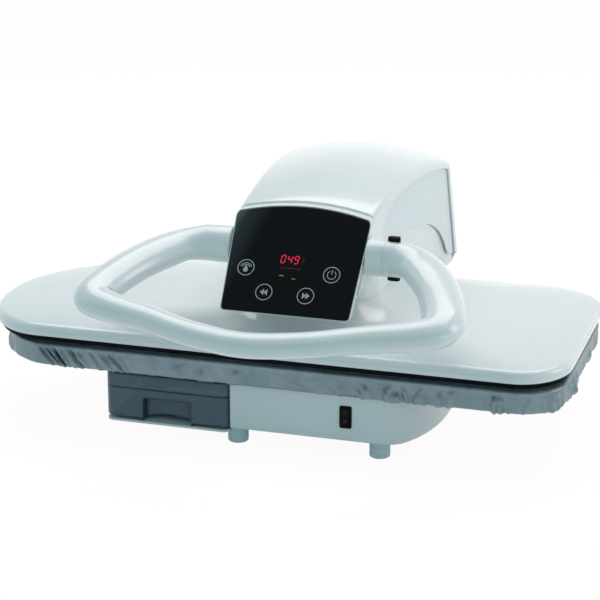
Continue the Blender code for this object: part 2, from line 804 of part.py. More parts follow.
def outlet_place():
    return (-TANK_RIGHT - TANK_CORNER_RADIUS * 2, -BASE_FRONT + TANK_DEPTH, TANK_BOTTOM + OUTLET_RISE)


def build_tray(mats, fixed):
    """Shelf under the tank, held by two arms that run back under the base plate."""
    top = TRAY_BOTTOM + TRAY_THICKNESS
    (left, right), (front, back) = tank_span()
    outline = round_rectangle((left, right), (front, back), TANK_CORNER_RADIUS)
    tray = add_piece("tank_tray", prism(outline, TRAY_BOTTOM, top), mats["white_shell"], fixed)
    arm_top = FOOT_HEIGHT - FIT_GAP
    arm_half = FOOT_RADIUS
    inset = TANK_CORNER_RADIUS + arm_half
    for side, x in (("left", left + inset), ("right", right - inset)):
        reach = (back - arm_half, back + TRAY_ARM_LENGTH)
        arm = box((x - arm_half, x + arm_half), reach, (TRAY_BOTTOM, top))
        cut(tray, arm, "tray_arm_" + side, fixed, "UNION")
        heel = (back + RUNNING_GAP + BAY_WALL_THICKNESS, back + TRAY_ARM_LENGTH)
        cut(tray, box((x - arm_half, x + arm_half), heel, (TRAY_BOTTOM + TRAY_THICKNESS / 2, arm_top)),
            "tray_heel_" + side, fixed, "UNION")


def build_tank(mats, slide, cap_axis):
    body_inner = tank_outline(TANK_WALL)
    floor = TANK_BOTTOM + TANK_WALL
    e = TANK_EDGE_RADIUS
    rings = [flat_ring(tank_outline(TANK_WALL + e / 2), floor), flat_ring(body_inner, floor + e / 2),
             flat_ring(body_inner, TANK_SEAM), flat_ring(tank_outline(0.0), TANK_SEAM)]
    for angle in (0, 30, 60, 90):
        turn = math.radians(angle)
        inset = e * (1 - math.cos(turn))
        rings.append(flat_ring(tank_outline(inset), TANK_BOTTOM + e - e * math.sin(turn)))
    tank = add_piece("water_tank", loft(rings), mats["smoke_clear"], slide)
    (left, right), (front, back) = tank_span()
    pull_x = lerp(left, right, 0.5)
    half = PULL_WIDTH / 2
    inside = (front + TANK_WALL / 2, front + PULL_DEPTH + TANK_WALL)
    block = box((pull_x - half - TANK_WALL, pull_x + half + TANK_WALL), inside,
                (TANK_BOTTOM + TANK_WALL / 2, TANK_BOTTOM + PULL_HEIGHT + TANK_WALL))
    cut(tank, block, "pull_block", slide, "UNION")
    pocket = box((pull_x - half, pull_x + half), (front - CUT_OVERRUN, front + PULL_DEPTH),
                 (TANK_BOTTOM - CUT_OVERRUN, TANK_BOTTOM + PULL_HEIGHT))
    cut(tank, pocket, "pull_pocket", slide)
    outlet = outlet_place()
    outlet_bore = rod_profile(-TANK_WALL * 2, TANK_WALL, OUTLET_RADIUS / 2 + FIT_GAP)
    cut(tank, turned_solid(outlet_bore, outlet, (0, 1, 0)), "outlet_bore", slide)
    bore = OUTLET_RADIUS / 2
    valve = [(-TANK_WALL - OUTLET_RADIUS, bore), (FIT_GAP, bore), (FIT_GAP, OUTLET_RADIUS),
             (OUTLET_LENGTH / 2, OUTLET_RADIUS), (OUTLET_LENGTH, OUTLET_RADIUS * 0.7)]
    add_piece("tank_outlet_valve", turned_solid(valve, outlet, (0, 1, 0), 16), mats["brass"], slide)
    build_tank_lid(mats, slide)
    edge = CAP_EDGE
    centre = Vector(cap_axis["place"])
    cap_profile = [(-CAP_NECK_DEPTH, CAP_NECK_RADIUS), (FIT_GAP, CAP_NECK_RADIUS), (FIT_GAP, CAP_RADIUS),
                   (CAP_THICKNESS - edge, CAP_RADIUS), (CAP_THICKNESS, CAP_RADIUS - edge)]
    cap = add_piece("filler_cap", turned_solid(cap_profile, centre, (0, 0, 1)), mats["grey_shell"], cap_axis)
    length, width, height = CAP_RIB
    cap_top = centre.z + CAP_THICKNESS
    rib = box((centre.x - length / 2, centre.x + length / 2), (centre.y - width / 2, centre.y + width / 2),
              (cap_top - height / 2, cap_top + height))
    cut(cap, rib, "cap_rib", cap_axis, "UNION")


def build_tank_lid(mats, slide):
    """Deep lid, open below, with a round well in which the filler cap sits."""
    bottom = TANK_SEAM + FIT_GAP
    roof = LID_TOP - TANK_WALL
    edge = TANK_WALL / 2
    outline = tank_outline(0.0)
    inner = tank_outline(TANK_WALL)
    rings = [flat_ring(inner, roof), flat_ring(inner, bottom), flat_ring(outline, bottom),
             flat_ring(outline, LID_TOP - edge), flat_ring(tank_outline(edge), LID_TOP)]
    lid = add_piece("tank_lid", loft(rings), mats["smoke_clear"], slide)
    place = cap_place()
    floor = WELL_FLOOR_THICKNESS
    depth = LID_TOP - WELL_FLOOR
    block = rod_profile(-floor, depth - edge, WELL_RADIUS + TANK_WALL)
    cut(lid, turned_solid(block, place, (0, 0, 1), WELL_SIDES), "well_block", slide, "UNION")
    well = rod_profile(0.0, depth + CUT_OVERRUN, WELL_RADIUS)
    cut(lid, turned_solid(well, place, (0, 0, 1), WELL_SIDES), "well_hollow", slide)
    bore = rod_profile(-floor - CUT_OVERRUN, CUT_OVERRUN, CAP_NECK_RADIUS + FIT_GAP)
    cut(lid, turned_solid(bore, place, (0, 0, 1)), "filler_bore", slide)


def cap_place():
    (left, right), (front, back) = tank_span()
    return (lerp(left, right, 0.5), front + CAP_SETBACK, WELL_FLOOR)


def build_board(mats, fixed):
    deck_top = BOARD_BOTTOM + DECK_THICKNESS
    deck_bottom = BASE_TOP + FIT_GAP
    outline = board_outline(DECK_INSET)
    low = offset_outline(outline, DECK_THICKNESS)
    deck = loft([flat_ring(low, BOARD_BOTTOM), flat_ring(outline, BOARD_BOTTOM + DECK_THICKNESS / 2),
                 flat_ring(outline, deck_top)])
    deck = add_piece("board_deck", deck, mats["steel"], fixed)
    for index, (x, y) in enumerate(DECK_SEATS):
        profile = rod_profile(deck_bottom, BOARD_BOTTOM + DECK_THICKNESS / 2, FOOT_RADIUS)
        seat = turned_solid(profile, (x, y, 0), (0, 0, 1))
        cut(deck, seat, "deck_seat_%d" % index, fixed, "UNION")
    pad_bottom = deck_top + FIT_GAP
    pad_top = PRESS_LINE - FIT_GAP - CLOTH_THICKNESS - FIT_GAP
    middle = (pad_bottom + pad_top) / 2
    bulge = CLOTH_EDGE_RADIUS / 2
    rings = []
    levels = ((PAD_INSET + bulge, pad_bottom), (PAD_INSET, lerp(pad_bottom, middle, 0.6)),
              (PAD_INSET, lerp(pad_top, middle, 0.6)), (PAD_INSET + bulge / 2, lerp(pad_top, middle, 0.2)),
              (PAD_INSET + bulge * 2, pad_top))
    for inset, height in levels:
        rings.append(flat_ring(board_outline(inset), height))
    add_piece("board_pad", loft(rings), mats["pad_foam"], fixed)
    build_board_cover(mats, fixed)


def gathered(outline, height, fullness):
    """A ring of the cloth whose edge waves in and out in uneven gathers."""
    ring = []
    count = len(outline)
    for i, (x, y) in enumerate(outline):
        wave = sum(math.sin(math.tau * gathers * i / count + gathers) for gathers in GATHER_COUNTS)
        inward = Vector((x, y)).normalized() * GATHER_DEPTH * fullness * (wave / len(GATHER_COUNTS) + 1.0) / 2
        ring.append((x - inward.x, y - inward.y, height))
    return ring


def build_board_cover(mats, fixed):
    """Fitted cloth cover: flat on top, drawn round the edge and gathered in below."""
    hem = CLOTH_TURN_IN
    top = PRESS_LINE - FIT_GAP
    bottom = BOARD_BOTTOM - CLOTH_THICKNESS - FIT_GAP
    r = CLOTH_EDGE_RADIUS
    t = CLOTH_THICKNESS
    shoulder = r * CLOTH_SHOULDER_SHARE
    tuck = r * CLOTH_TUCK_SHARE
    light, half = CLOTH_SHOULDER_FULLNESS, CLOTH_SIDE_FULLNESS
    outer = [(r, top, 0.0), (shoulder, top - shoulder, light), (0.0, top - r, half), (0.0, bottom + r, 1.0),
             (tuck, bottom + shoulder, 1.0), (r + t, bottom, half), (hem, bottom, 0.0)]
    inner = [(hem, bottom + t, 0.0), (r + t, bottom + t, half), (tuck + t, bottom + t + tuck / 2, 1.0),
             (t, bottom + r + t, 1.0), (t, top - r, half), (shoulder + t, top - t, light)]
    edge = board_outline(COVER_INSET, CLOTH_STEP)
    rings = []
    for inset, height, fullness in outer + inner:
        rings.append(gathered(offset_outline(edge, inset), height, fullness))
    add_piece("board_cover", loft(rings), mats["silver_cloth"], fixed)


def build_heater(mats, head):
    bottom = PRESS_LINE
    top = bottom + HEATER_THICKNESS
    edge = HEATER_THICKNESS / 3
    outline = plate_outline(HEATER_INSET)
    rings = [flat_ring(plate_outline(HEATER_INSET + edge), bottom), flat_ring(outline, bottom + edge),
             flat_ring(outline, top)]
    sole = add_piece("heating_plate", loft(rings), mats["aluminium"], head)
    holes = bmesh.new()
    for row in STEAM_ROW_OFFSETS:
        for k in range(STEAM_HOLE_COUNT):
            x = STEAM_HOLE_PITCH * (k - (STEAM_HOLE_COUNT - 1) / 2)
            matrix = Matrix.Translation((x, row, (bottom + top) / 2))
            r = STEAM_HOLE_RADIUS
            bmesh.ops.create_cone(holes, cap_ends=True, segments=STEAM_HOLE_SIDES, radius1=r, radius2=r,
                                  depth=HEATER_THICKNESS + CUT_OVERRUN, matrix=matrix)
    cut(sole, holes, "steam_holes", head)
    casting_bottom = top + FIT_GAP
    block = prism(plate_outline(CASTING_INSET), casting_bottom, casting_bottom + CASTING_THICKNESS)
    casting = add_piece("steam_casting", block, mats["aluminium"], head)
    for index, row in enumerate(STEAM_ROW_OFFSETS):
        half = STEAM_HOLE_PITCH * STEAM_HOLE_COUNT / 2
        groove = box((-half, half), (row - STEAM_HOLE_RADIUS * 2, row + STEAM_HOLE_RADIUS * 2),
                     (casting_bottom - CUT_OVERRUN, casting_bottom + CASTING_THICKNESS / 2))
        cut(casting, groove, "steam_channel_%d" % index, head)
    feed = feed_place()
    bore = rod_profile(-CASTING_THICKNESS, CUT_OVERRUN, HOSE_RADIUS)
    cut(casting, turned_solid(bore, (feed[0], feed[1], casting_top()), (0, 0, 1)), "steam_inlet", head)
    low = bottom + HEATER_THICKNESS / 2
    high = bottom + SURROUND_HEIGHT
    seat = top + FIT_GAP
    rim = [(SURROUND_INNER_INSET, low), (SURROUND_OUTER_INSET, low), (SURROUND_OUTER_INSET, high),
           (SURROUND_SEAT_INSET, high), (SURROUND_SEAT_INSET, seat), (SURROUND_INNER_INSET, seat)]
    add_piece("plate_surround", closed_loft([flat_ring(plate_outline(inset), z) for inset, z in rim]),
              mats["black_plastic"], head)


def casting_top():
    return PRESS_LINE + HEATER_THICKNESS + FIT_GAP + CASTING_THICKNESS


def feed_place():
    return (HEAD_X, STEAM_ROW_OFFSETS[1])


def build_plate_cover(mats, head):
    """Moulded cover of the upper plate: a rim, a crown and a dome up to the neck."""
    outline = plate_outline(0.0)
    top = COVER_RIM + COVER_WALL_HEIGHT
    r = COVER_EDGE_RADIUS
    neck = neck_outline()
    centre = (HEAD_X, (NECK_BACK - NECK_FRONT) / 2)
    rings = [flat_ring(outline, COVER_RIM)]
    for angle in (0, 30, 60, 90):
        turn = math.radians(angle)
        rim = plate_outline_like(r * (1 - math.cos(turn)), outline)
        rings.append(flat_ring(rim, top - r + r * math.sin(turn)))
    start = plate_outline_like(r, outline)
    goals = [ray_hit(neck, centre, point) for point in start]
    dome_shares = (1.0, 0.72, 0.48, 0.28, 0.12, 0.04, 0.0)
    for reach_share in (0.75, 0.35):
        rings.append(cover_ring(start, goals, top, lambda gap: DOME_WIDTH + (gap - DOME_WIDTH) * reach_share))
    for share in dome_shares:
        rings.append(cover_ring(start, goals, top, lambda gap: DOME_WIDTH * share))
    skin = COVER_THICKNESS
    collar = [ray_hit(offset_outline(neck, NECK_COLLAR), centre, point) for point in start]
    inner = [[(x, y, ring_z) for (x, y), ring_z in zip(collar, [p[2] for p in rings[-1]])]]
    for share in (0.28, 0.55, 1.0):
        ring = cover_ring(start, goals, top, lambda gap: DOME_WIDTH * share + NECK_COLLAR * 0.4)
        inner.append([(x, y, z - skin) for x, y, z in ring])
    inner.append(flat_ring(plate_outline_like(r, outline), top - skin))
    inner.append(flat_ring(plate_outline_like(skin, outline), top - r))
    inner.append(flat_ring(plate_outline_like(skin, outline), COVER_RIM))
    add_piece("plate_cover", closed_loft(rings + inner), mats["white_shell"], head)


def plate_outline_like(inset, outline):
    return offset_outline(outline, inset) if inset else list(outline)


def cover_ring(start, goals, top, distance):
    """One ring of the cover at a distance from the neck, raised by crown and dome."""
    ring = []
    for (x, y), (gx, gy) in zip(start, goals):
        outward = Vector((x - gx, y - gy))
        gap = outward.length
        width = min(DOME_WIDTH, gap * 0.9)
        scale = width / DOME_WIDTH
        reach = distance(gap / scale if scale < 1 else gap) * scale
        reach = min(reach, gap)
        point = Vector((gx, gy)) + outward.normalized() * reach
        away = reach / gap
        rise = COVER_CROWN * math.sin(math.pi / 2 * (1.0 - away) ** 0.8) if away < 1 else 0.0
        dome = DOME_RISE * (1.0 - min(reach / width, 1.0)) ** 2.2
        ring.append((point.x, point.y, top + rise + dome))
    return ring


def collar_height():
    return COVER_RIM + COVER_WALL_HEIGHT + COVER_CROWN + DOME_RISE


def build_neck(mats, head):
    """Wall that closes the space between the upper plate's cover and the head."""
    tail = HEAD_BACK - HEAD_WALL - RUNNING_GAP
    drop = PLATE_WIDTH / 2 + RUNNING_GAP
    right = neck_side(NECK_BACK, ARC_STEPS)
    for depth in (drop, drop + RUNNING_GAP * 2, lerp(drop, tail, 0.35), lerp(drop, tail, 0.7), tail):
        right.append((neck_half_width(depth), depth))
    outer = [(-x + HEAD_X, y) for x, y in reversed(right[1:])] + [(x + HEAD_X, y) for x, y in right]
    inner = offset_outline(outer, NECK_WALL, closed=False)
    foot = collar_height() + FIT_GAP
    bottoms, tops = [], []
    for x, y in outer:
        bottoms.append(foot if y < drop + RUNNING_GAP else NECK_TAIL_BOTTOM)
        share = share_at(y, lower_height(0.6))
        side_top = lower_height(min(max(share, 0.22), 1.0)) + NECK_OVERLAP
        tops.append(lerp(NECK_FRONT_TOP, side_top, smooth_step((y + NECK_FRONT) / NECK_CORNER_RADIUS)))
    lower_outer = [(x, y, z) for (x, y), z in zip(outer, bottoms)]
    upper_outer = [(x, y, z) for (x, y), z in zip(outer, tops)]
    lower_inner = [(x, y, z) for (x, y), z in zip(inner, bottoms)]
    upper_inner = [(x, y, z) for (x, y), z in zip(inner, tops)]
    lower = lower_outer + lower_inner[::-1]
    upper = upper_outer + upper_inner[::-1]
    add_piece("neck_wall", band_solid(lower, upper, len(outer)), mats["white_shell"], head)


def band_solid(lower, upper, count):
    """Closed wall between two levels of a band whose second half runs back inside."""
    bm = bmesh.new()
    low = [bm.verts.new(point) for point in lower]
    high = [bm.verts.new(point) for point in upper]
    total = len(low)
    for i in range(total):
        j = (i + 1) % total
        bm.faces.new((low[i], low[j], high[j], high[i]))
    for i in range(count - 1):
        a, b = i, i + 1
        c, d = total - 2 - i, total - 1 - i
        bm.faces.new((low[d], low[c], low[b], low[a]))
        bm.faces.new((high[a], high[b], high[c], high[d]))
    return bm


def build_cowl(mats, head):
    """Roof and sides of the head, with a window in each side for the side panels."""
    shares = [0.0, 0.03, 0.06, 0.12, 0.17, 0.22, 0.316, 0.43, 0.537, 0.63, 0.715, 0.83, 0.885, 0.93, 1.0]
    rings = []
    for share in shares:
        outer = full_section(share)
        inner = offset_outline(outer, -HEAD_WALL, closed=False)
        ring = [(HEAD_X + x, head_depth(share, z), z) for x, z in outer]
        ring += [(HEAD_X + x, head_depth(share, z), z) for x, z in inner[::-1]]
        rings.append(ring)
    count = len(rings[0])
    half = count // 2
    bm = bmesh.new()
    rows = [[bm.verts.new(point) for point in ring] for ring in rings]
    for lower, upper in zip(rows, rows[1:]):
        for i in range(count):
            j = (i + 1) % count
            bm.faces.new((lower[i], lower[j], upper[j], upper[i]))
    for row in (rows[0], rows[-1]):
        for i in range(half - 1):
            bm.faces.new((row[i], row[i + 1], row[count - 2 - i], row[count - 1 - i]))
    cowl = add_piece("head_cowl", bm, mats["white_shell"], head)
    reach = RIDGE_HALF_BACK * 2
    cut(cowl, side_prism(window_outline(), HEAD_X - reach, HEAD_X + reach), "side_windows", head)
    hub_hole = rod_profile(-reach, reach, HUB_RADIUS + RUNNING_GAP / 2)
    cut(cowl, turned_solid(hub_hole, (HEAD_X, HANDLE_Y, HANDLE_Z), (1, 0, 0)), "hub_holes", head)


def window_top(share):
    """Upper edge of the side windows, which bends down at the front corner."""
    near = (share - WINDOW_FRONT_SHARE) / WINDOW_CORNER_SHARE
    drop = WINDOW_CORNER_DROP * max(0.0, 1.0 - near) ** 2
    return ridge_height(share) - WINDOW_RIM - drop


def window_end_share():
    """Share at which the upper edge of the side windows meets their upright back edge."""
    return share_at(HEAD_BACK - WINDOW_BACK_MARGIN, RIDGE_BACK_HEIGHT - WINDOW_RIM)


def window_outline():
    """Side window as (y, z) points: under the ridge, open below, from behind the hub to the back."""
    back = HEAD_BACK - WINDOW_BACK_MARGIN
    points = []
    for i in range(WINDOW_STEPS):
        share = lerp(WINDOW_FRONT_SHARE, window_end_share(), i / WINDOW_STEPS)
        height = window_top(share)
        points.append((head_depth(share, height), height))
    points += [(back, window_top(window_end_share())), (back, BASE_TOP)]
    return points + [(head_depth(WINDOW_FRONT_SHARE, BASE_TOP), BASE_TOP)]


def side_rows(steps_along, steps_up):
    """Grid of a side panel as rows of (y, z) points from the lower edge to the top."""
    back = HEAD_BACK - WINDOW_BACK_MARGIN - SIDE_PANEL_GAP
    rows = []
    for j in range(steps_up + 1):
        row = []
        for i in range(steps_along + 1):
            share = lerp(WINDOW_FRONT_SHARE, window_end_share(), i / steps_along)
            low = lower_height(share) + SIDE_PANEL_GAP
            high = window_top(share) - SIDE_PANEL_GAP
            height = lerp(low, high, j / steps_up)
            depth = back if i == steps_along else head_depth(share, height) + SIDE_PANEL_GAP
            row.append((depth, height))
        rows.append(row)
    return rows


def build_side_panels(mats, head):
    for side, sign in (("left", -1), ("right", 1)):
        rows = side_rows(WINDOW_STEPS, 3)
        bm = bmesh.new()
        layers = []
        for recess in (SIDE_PANEL_RECESS, SIDE_PANEL_RECESS + SIDE_PANEL_THICKNESS):
            layer = []
            for row in rows:
                line = []
                for depth, height in row:
                    half = head_half_width(share_at(depth, height), height) - recess
                    line.append(bm.verts.new((HEAD_X + sign * half, depth, height)))
                layer.append(line)
            layers.append(layer)
        join_layers(bm, *layers)
        add_piece("side_panel_" + side, bm, mats["white_shell"], head)


def join_layers(bm, outer, inner):
    """Close two equal grids into one sheet with a thickness."""
    height, width = len(outer), len(outer[0])
    for layer in (outer, inner):
        for j in range(height - 1):
            for i in range(width - 1):
                bm.faces.new((layer[j][i], layer[j][i + 1], layer[j + 1][i + 1], layer[j + 1][i]))
    border = [(0, i) for i in range(width)] + [(j, width - 1) for j in range(1, height)]
    border += [(height - 1, i) for i in range(width - 2, -1, -1)] + [(j, 0) for j in range(height - 2, 0, -1)]
    for (j, i), (n, m) in zip(border, border[1:] + border[:1]):
        bm.faces.new((outer[j][i], outer[n][m], inner[n][m], inner[j][i]))


def build_head_back(mats, head):
    """Back wall of the head, set inside the roof and the sides."""
    section = offset_outline(full_section(1.0), -(HEAD_WALL + BACK_COVER_GAP), closed=False)
    tail = neck_half_width(HEAD_BACK) - BACK_COVER_GAP
    bottom = NECK_TAIL_BOTTOM + RUNNING_GAP
    outline = [(HEAD_X - tail, bottom)] + [(HEAD_X + x, z) for x, z in section] + [(HEAD_X + tail, bottom)]
    front = HEAD_BACK - HEAD_WALL
    rings = [[(x, depth, z) for x, z in outline] for depth in (front, HEAD_BACK)]
    add_piece("head_back_cover", loft(rings), mats["white_shell"], head)


def build_head_floor(mats, head):
    half = NECK_FRONT_HALF - NECK_WALL
    front = head_front(FLOOR_HEIGHT + FLOOR_THICKNESS)
    back = -NECK_FRONT - FIT_GAP
    outline = rectangle((HEAD_X - half, HEAD_X + half), (front, back))
    floor = prism(outline, FLOOR_HEIGHT, FLOOR_HEIGHT + FLOOR_THICKNESS)
    add_piece("head_floor", floor, mats["white_shell"], head)


def panel_outline(inset):
    """Outline of the control panel as (across, up) points in its own leaning plane."""
    bottom = PANEL_BOTTOM_WIDTH / 2 - inset
    top = PANEL_TOP_WIDTH / 2 - inset
    low = inset
    corner_top = PANEL_HEIGHT - inset
    r = PANEL_BOTTOM_RADIUS
    points = [(-bottom + r, low), (bottom - r, low), (bottom - r * 0.3, low + r * 0.3), (bottom, low + r)]
    side_steps = 4
    for i in range(1, side_steps + 1):
        share = i / side_steps
        up = lerp(low + r, corner_top - PANEL_TOP_RADIUS, share)
        points.append((lerp(bottom, top, share), up))
    arch_steps = 12
    for i in range(arch_steps + 1):
        x = lerp(top - PANEL_TOP_RADIUS * 0.35, -top + PANEL_TOP_RADIUS * 0.35, i / arch_steps)
        arch = PANEL_ARCH * (1.0 - (x / top) ** 2)
        points.append((x, corner_top - PANEL_TOP_RADIUS * 0.25 + arch))
    for i in range(side_steps, 0, -1):
        share = i / side_steps
        up = lerp(low + r, corner_top - PANEL_TOP_RADIUS, share)
        points.append((-lerp(bottom, top, share), up))
    points += [(-bottom, low + r), (-bottom + r * 0.3, low + r * 0.3)]
    return points


def panel_point(across, up, depth):
    """A point of the bezel, which runs level to the back so that it meets the roof."""
    y = -PANEL_FRONT + up * math.sin(PANEL_LEAN) + depth / math.cos(PANEL_LEAN)
    return (HEAD_X + across, y, PANEL_BOTTOM + up * math.cos(PANEL_LEAN))


def panel_ring(outline, depth):
    return [panel_point(across, up, depth) for across, up in outline]


def panel_side(up, depth):
    """A (y, z) point square behind the panel's face."""
    y = -PANEL_FRONT + up * math.sin(PANEL_LEAN) + depth * math.cos(PANEL_LEAN)
    return (y, PANEL_BOTTOM + up * math.cos(PANEL_LEAN) - depth * math.sin(PANEL_LEAN))


def panel_box(size, up, depth):
    """A flat part that lies square behind the panel's face."""
    width, height, thickness = size
    outline = [panel_side(up - height / 2, depth), panel_side(up + height / 2, depth),
               panel_side(up + height / 2, depth + thickness), panel_side(up - height / 2, depth + thickness)]
    return side_prism(outline, HEAD_X - width / 2, HEAD_X + width / 2)


def build_control_panel(mats, head):
    outer = panel_outline(0.0)
    soft = panel_outline(BEZEL_EDGE)
    inner = panel_outline(BEZEL_LIP)
    floor = BEZEL_DEPTH - BEZEL_FLOOR
    rings = [panel_ring(inner, floor), panel_ring(inner, 0.0), panel_ring(soft, 0.0),
             panel_ring(outer, BEZEL_EDGE), panel_ring(outer, BEZEL_DEPTH)]
    add_piece("control_bezel", loft(rings), mats["white_shell"], head)
    glass = panel_outline(BEZEL_LIP + FIT_GAP)
    glass_soft = panel_outline(BEZEL_LIP + FIT_GAP + GLASS_PROUD)
    rings = [panel_ring(glass, GLASS_THICKNESS - GLASS_PROUD), panel_ring(glass, 0.0),
             panel_ring(glass_soft, -GLASS_PROUD)]
    add_piece("control_glass", loft(rings), mats["black_gloss"], head)
    behind_glass = GLASS_THICKNESS - GLASS_PROUD + FIT_GAP
    module = panel_box(DISPLAY_SIZE, DISPLAY_UP, behind_glass)
    add_piece("display_module", module, mats["black_plastic"], head)
    board = panel_box(DISPLAY_BOARD_SIZE, DISPLAY_UP, behind_glass + DISPLAY_SIZE[2] + FIT_GAP)
    add_piece("display_board", board, mats["circuit_green"], head)


def arm_inner():
    return TOWER_HALF_WIDTH + ARM_GAP


def build_tower(mats, fixed):
    """Box on the base with two steel cheeks that carry the head's hinge."""
    low = BASE_TOP + FIT_GAP
    x_range = (HEAD_X - TOWER_HALF_WIDTH, HEAD_X + TOWER_HALF_WIDTH)
    y_range = (HINGE_Y - TOWER_DEPTH / 2, HINGE_Y + TOWER_DEPTH / 2)
    outline = round_rectangle(x_range, y_range, TOWER_WALL * 2, 3)
    inner = offset_outline(outline, TOWER_WALL)
    shell = loft([flat_ring(inner, TOWER_TOP - TOWER_WALL), flat_ring(inner, low), flat_ring(outline, low),
                  flat_ring(outline, TOWER_TOP)])
    tower = add_piece("hinge_tower", shell, mats["white_shell"], fixed)
    hose_hole = rod_profile(TOWER_TOP - TOWER_WALL - CUT_OVERRUN, TOWER_TOP + CUT_OVERRUN,
                            HOSE_RADIUS + RUNNING_GAP)
    cut(tower, turned_solid(hose_hole, (HEAD_X + HOSE_BEND, HINGE_Y, 0), (0, 0, 1)), "tower_hose_hole", fixed)
    foot = TOWER_TOP + FIT_GAP
    half = CHEEK_HEAD_RADIUS
    cheek = [(HINGE_Y - half, foot), (HINGE_Y + half, foot)]
    cheek += arc((HINGE_Y, HINGE_Z), (half, half), 0, 180, 12)
    for side, sign in (("left", -1), ("right", 1)):
        outside = HEAD_X + sign * TOWER_HALF_WIDTH
        inside = HEAD_X + sign * (TOWER_HALF_WIDTH - CHEEK_THICKNESS)
        slab = side_prism(cheek, min(inside, outside), max(inside, outside))
        plate = add_piece("hinge_cheek_" + side, slab, mats["steel"], fixed)
        axis = (sign, 0, 0)
        centre = (HEAD_X, HINGE_Y, HINGE_Z)
        bore = rod_profile(TOWER_HALF_WIDTH - CHEEK_THICKNESS * 2, TOWER_HALF_WIDTH + CUT_OVERRUN,
                           HINGE_BUSH_RADIUS + FIT_GAP)
        cut(plate, turned_solid(bore, centre, axis), "cheek_bore_" + side, fixed)
        start = TOWER_HALF_WIDTH - CHEEK_THICKNESS
        end = TOWER_HALF_WIDTH + FIT_GAP
        pin = HINGE_PIN_RADIUS + FIT_GAP
        face = end + HINGE_BUSH_FLANGE
        flange = HINGE_BUSH_RADIUS * 1.3
        bush = [(start, pin), (face, pin), (face, flange), (end, flange), (end, HINGE_BUSH_RADIUS),
                (start, HINGE_BUSH_RADIUS)]
        add_piece("hinge_bush_" + side, turned_ring(bush, centre, axis), mats["brass"], fixed)


def hinge_pin_inner():
    return TOWER_HALF_WIDTH - CHEEK_THICKNESS - SPRING_PITCH * (SPRING_TURNS + 2)


def build_hinge_pins(mats, head):
    """Stub pins that turn with the head's arms inside the bushes."""
    centre = (HEAD_X, HINGE_Y, HINGE_Z)
    outer = arm_inner() + ARM_THICKNESS + FIT_GAP
    for side, sign in (("left", -1), ("right", 1)):
        profile = [(hinge_pin_inner(), HINGE_PIN_RADIUS), (outer, HINGE_PIN_RADIUS), (outer, PIN_HEAD_RADIUS),
                   (outer + PIN_HEAD_THICKNESS, PIN_HEAD_RADIUS)]
        add_piece("hinge_pin_" + side, turned_solid(profile, centre, (sign, 0, 0)), mats["steel"], head)


def build_springs(mats, fixed):
    """Torsion springs round the stub pins, which take part of the head's weight."""
    turn_points = 9
    for side, sign in (("left", -1), ("right", 1)):
        start_x = HEAD_X + sign * (TOWER_HALF_WIDTH - CHEEK_THICKNESS - SPRING_WIRE - FIT_GAP)
        radius = HINGE_PIN_RADIUS + SPRING_WIRE + RUNNING_GAP
        coil = []
        total = SPRING_TURNS * turn_points
        for k in range(total + 1):
            angle = math.tau * k / turn_points
            x = start_x - sign * SPRING_PITCH * k / turn_points
            coil.append((x, HINGE_Y - radius * math.sin(angle), HINGE_Z + radius * math.cos(angle) * -1))
        add_piece("counter_spring_" + side, frame_sweep(coil, SPRING_WIRE, WIRE_SIDES), mats["steel"], fixed)


def arm_outline():
    """Side plate of the head's frame as (y, z) points, with its front square behind the panel."""
    r = ARM_EYE_RADIUS
    behind = BEZEL_DEPTH + RUNNING_GAP / 2
    neck_clear = -NECK_FRONT + NECK_CORNER_RADIUS / 2
    outline = arc((HINGE_Y, HINGE_Z), (r, r), 200, 400, 12)
    outline += [(HINGE_Y, ARM_LOWER + r * 1.5), (HINGE_Y - r * 1.5, ARM_UPPER)]
    outline += [(HANDLE_Y + r, ARM_UPPER), panel_side(ARM_PANEL_TOP, behind),
                panel_side(ARM_PANEL_BOTTOM, behind), (HANDLE_Y + r / 2, ARM_OVER_NECK),
                (neck_clear, ARM_OVER_NECK), (neck_clear, ARM_LOWER + r), (neck_clear + r / 2, ARM_LOWER),
                (PLATE_WIDTH / 2 - r / 2, ARM_LOWER)]
    return outline


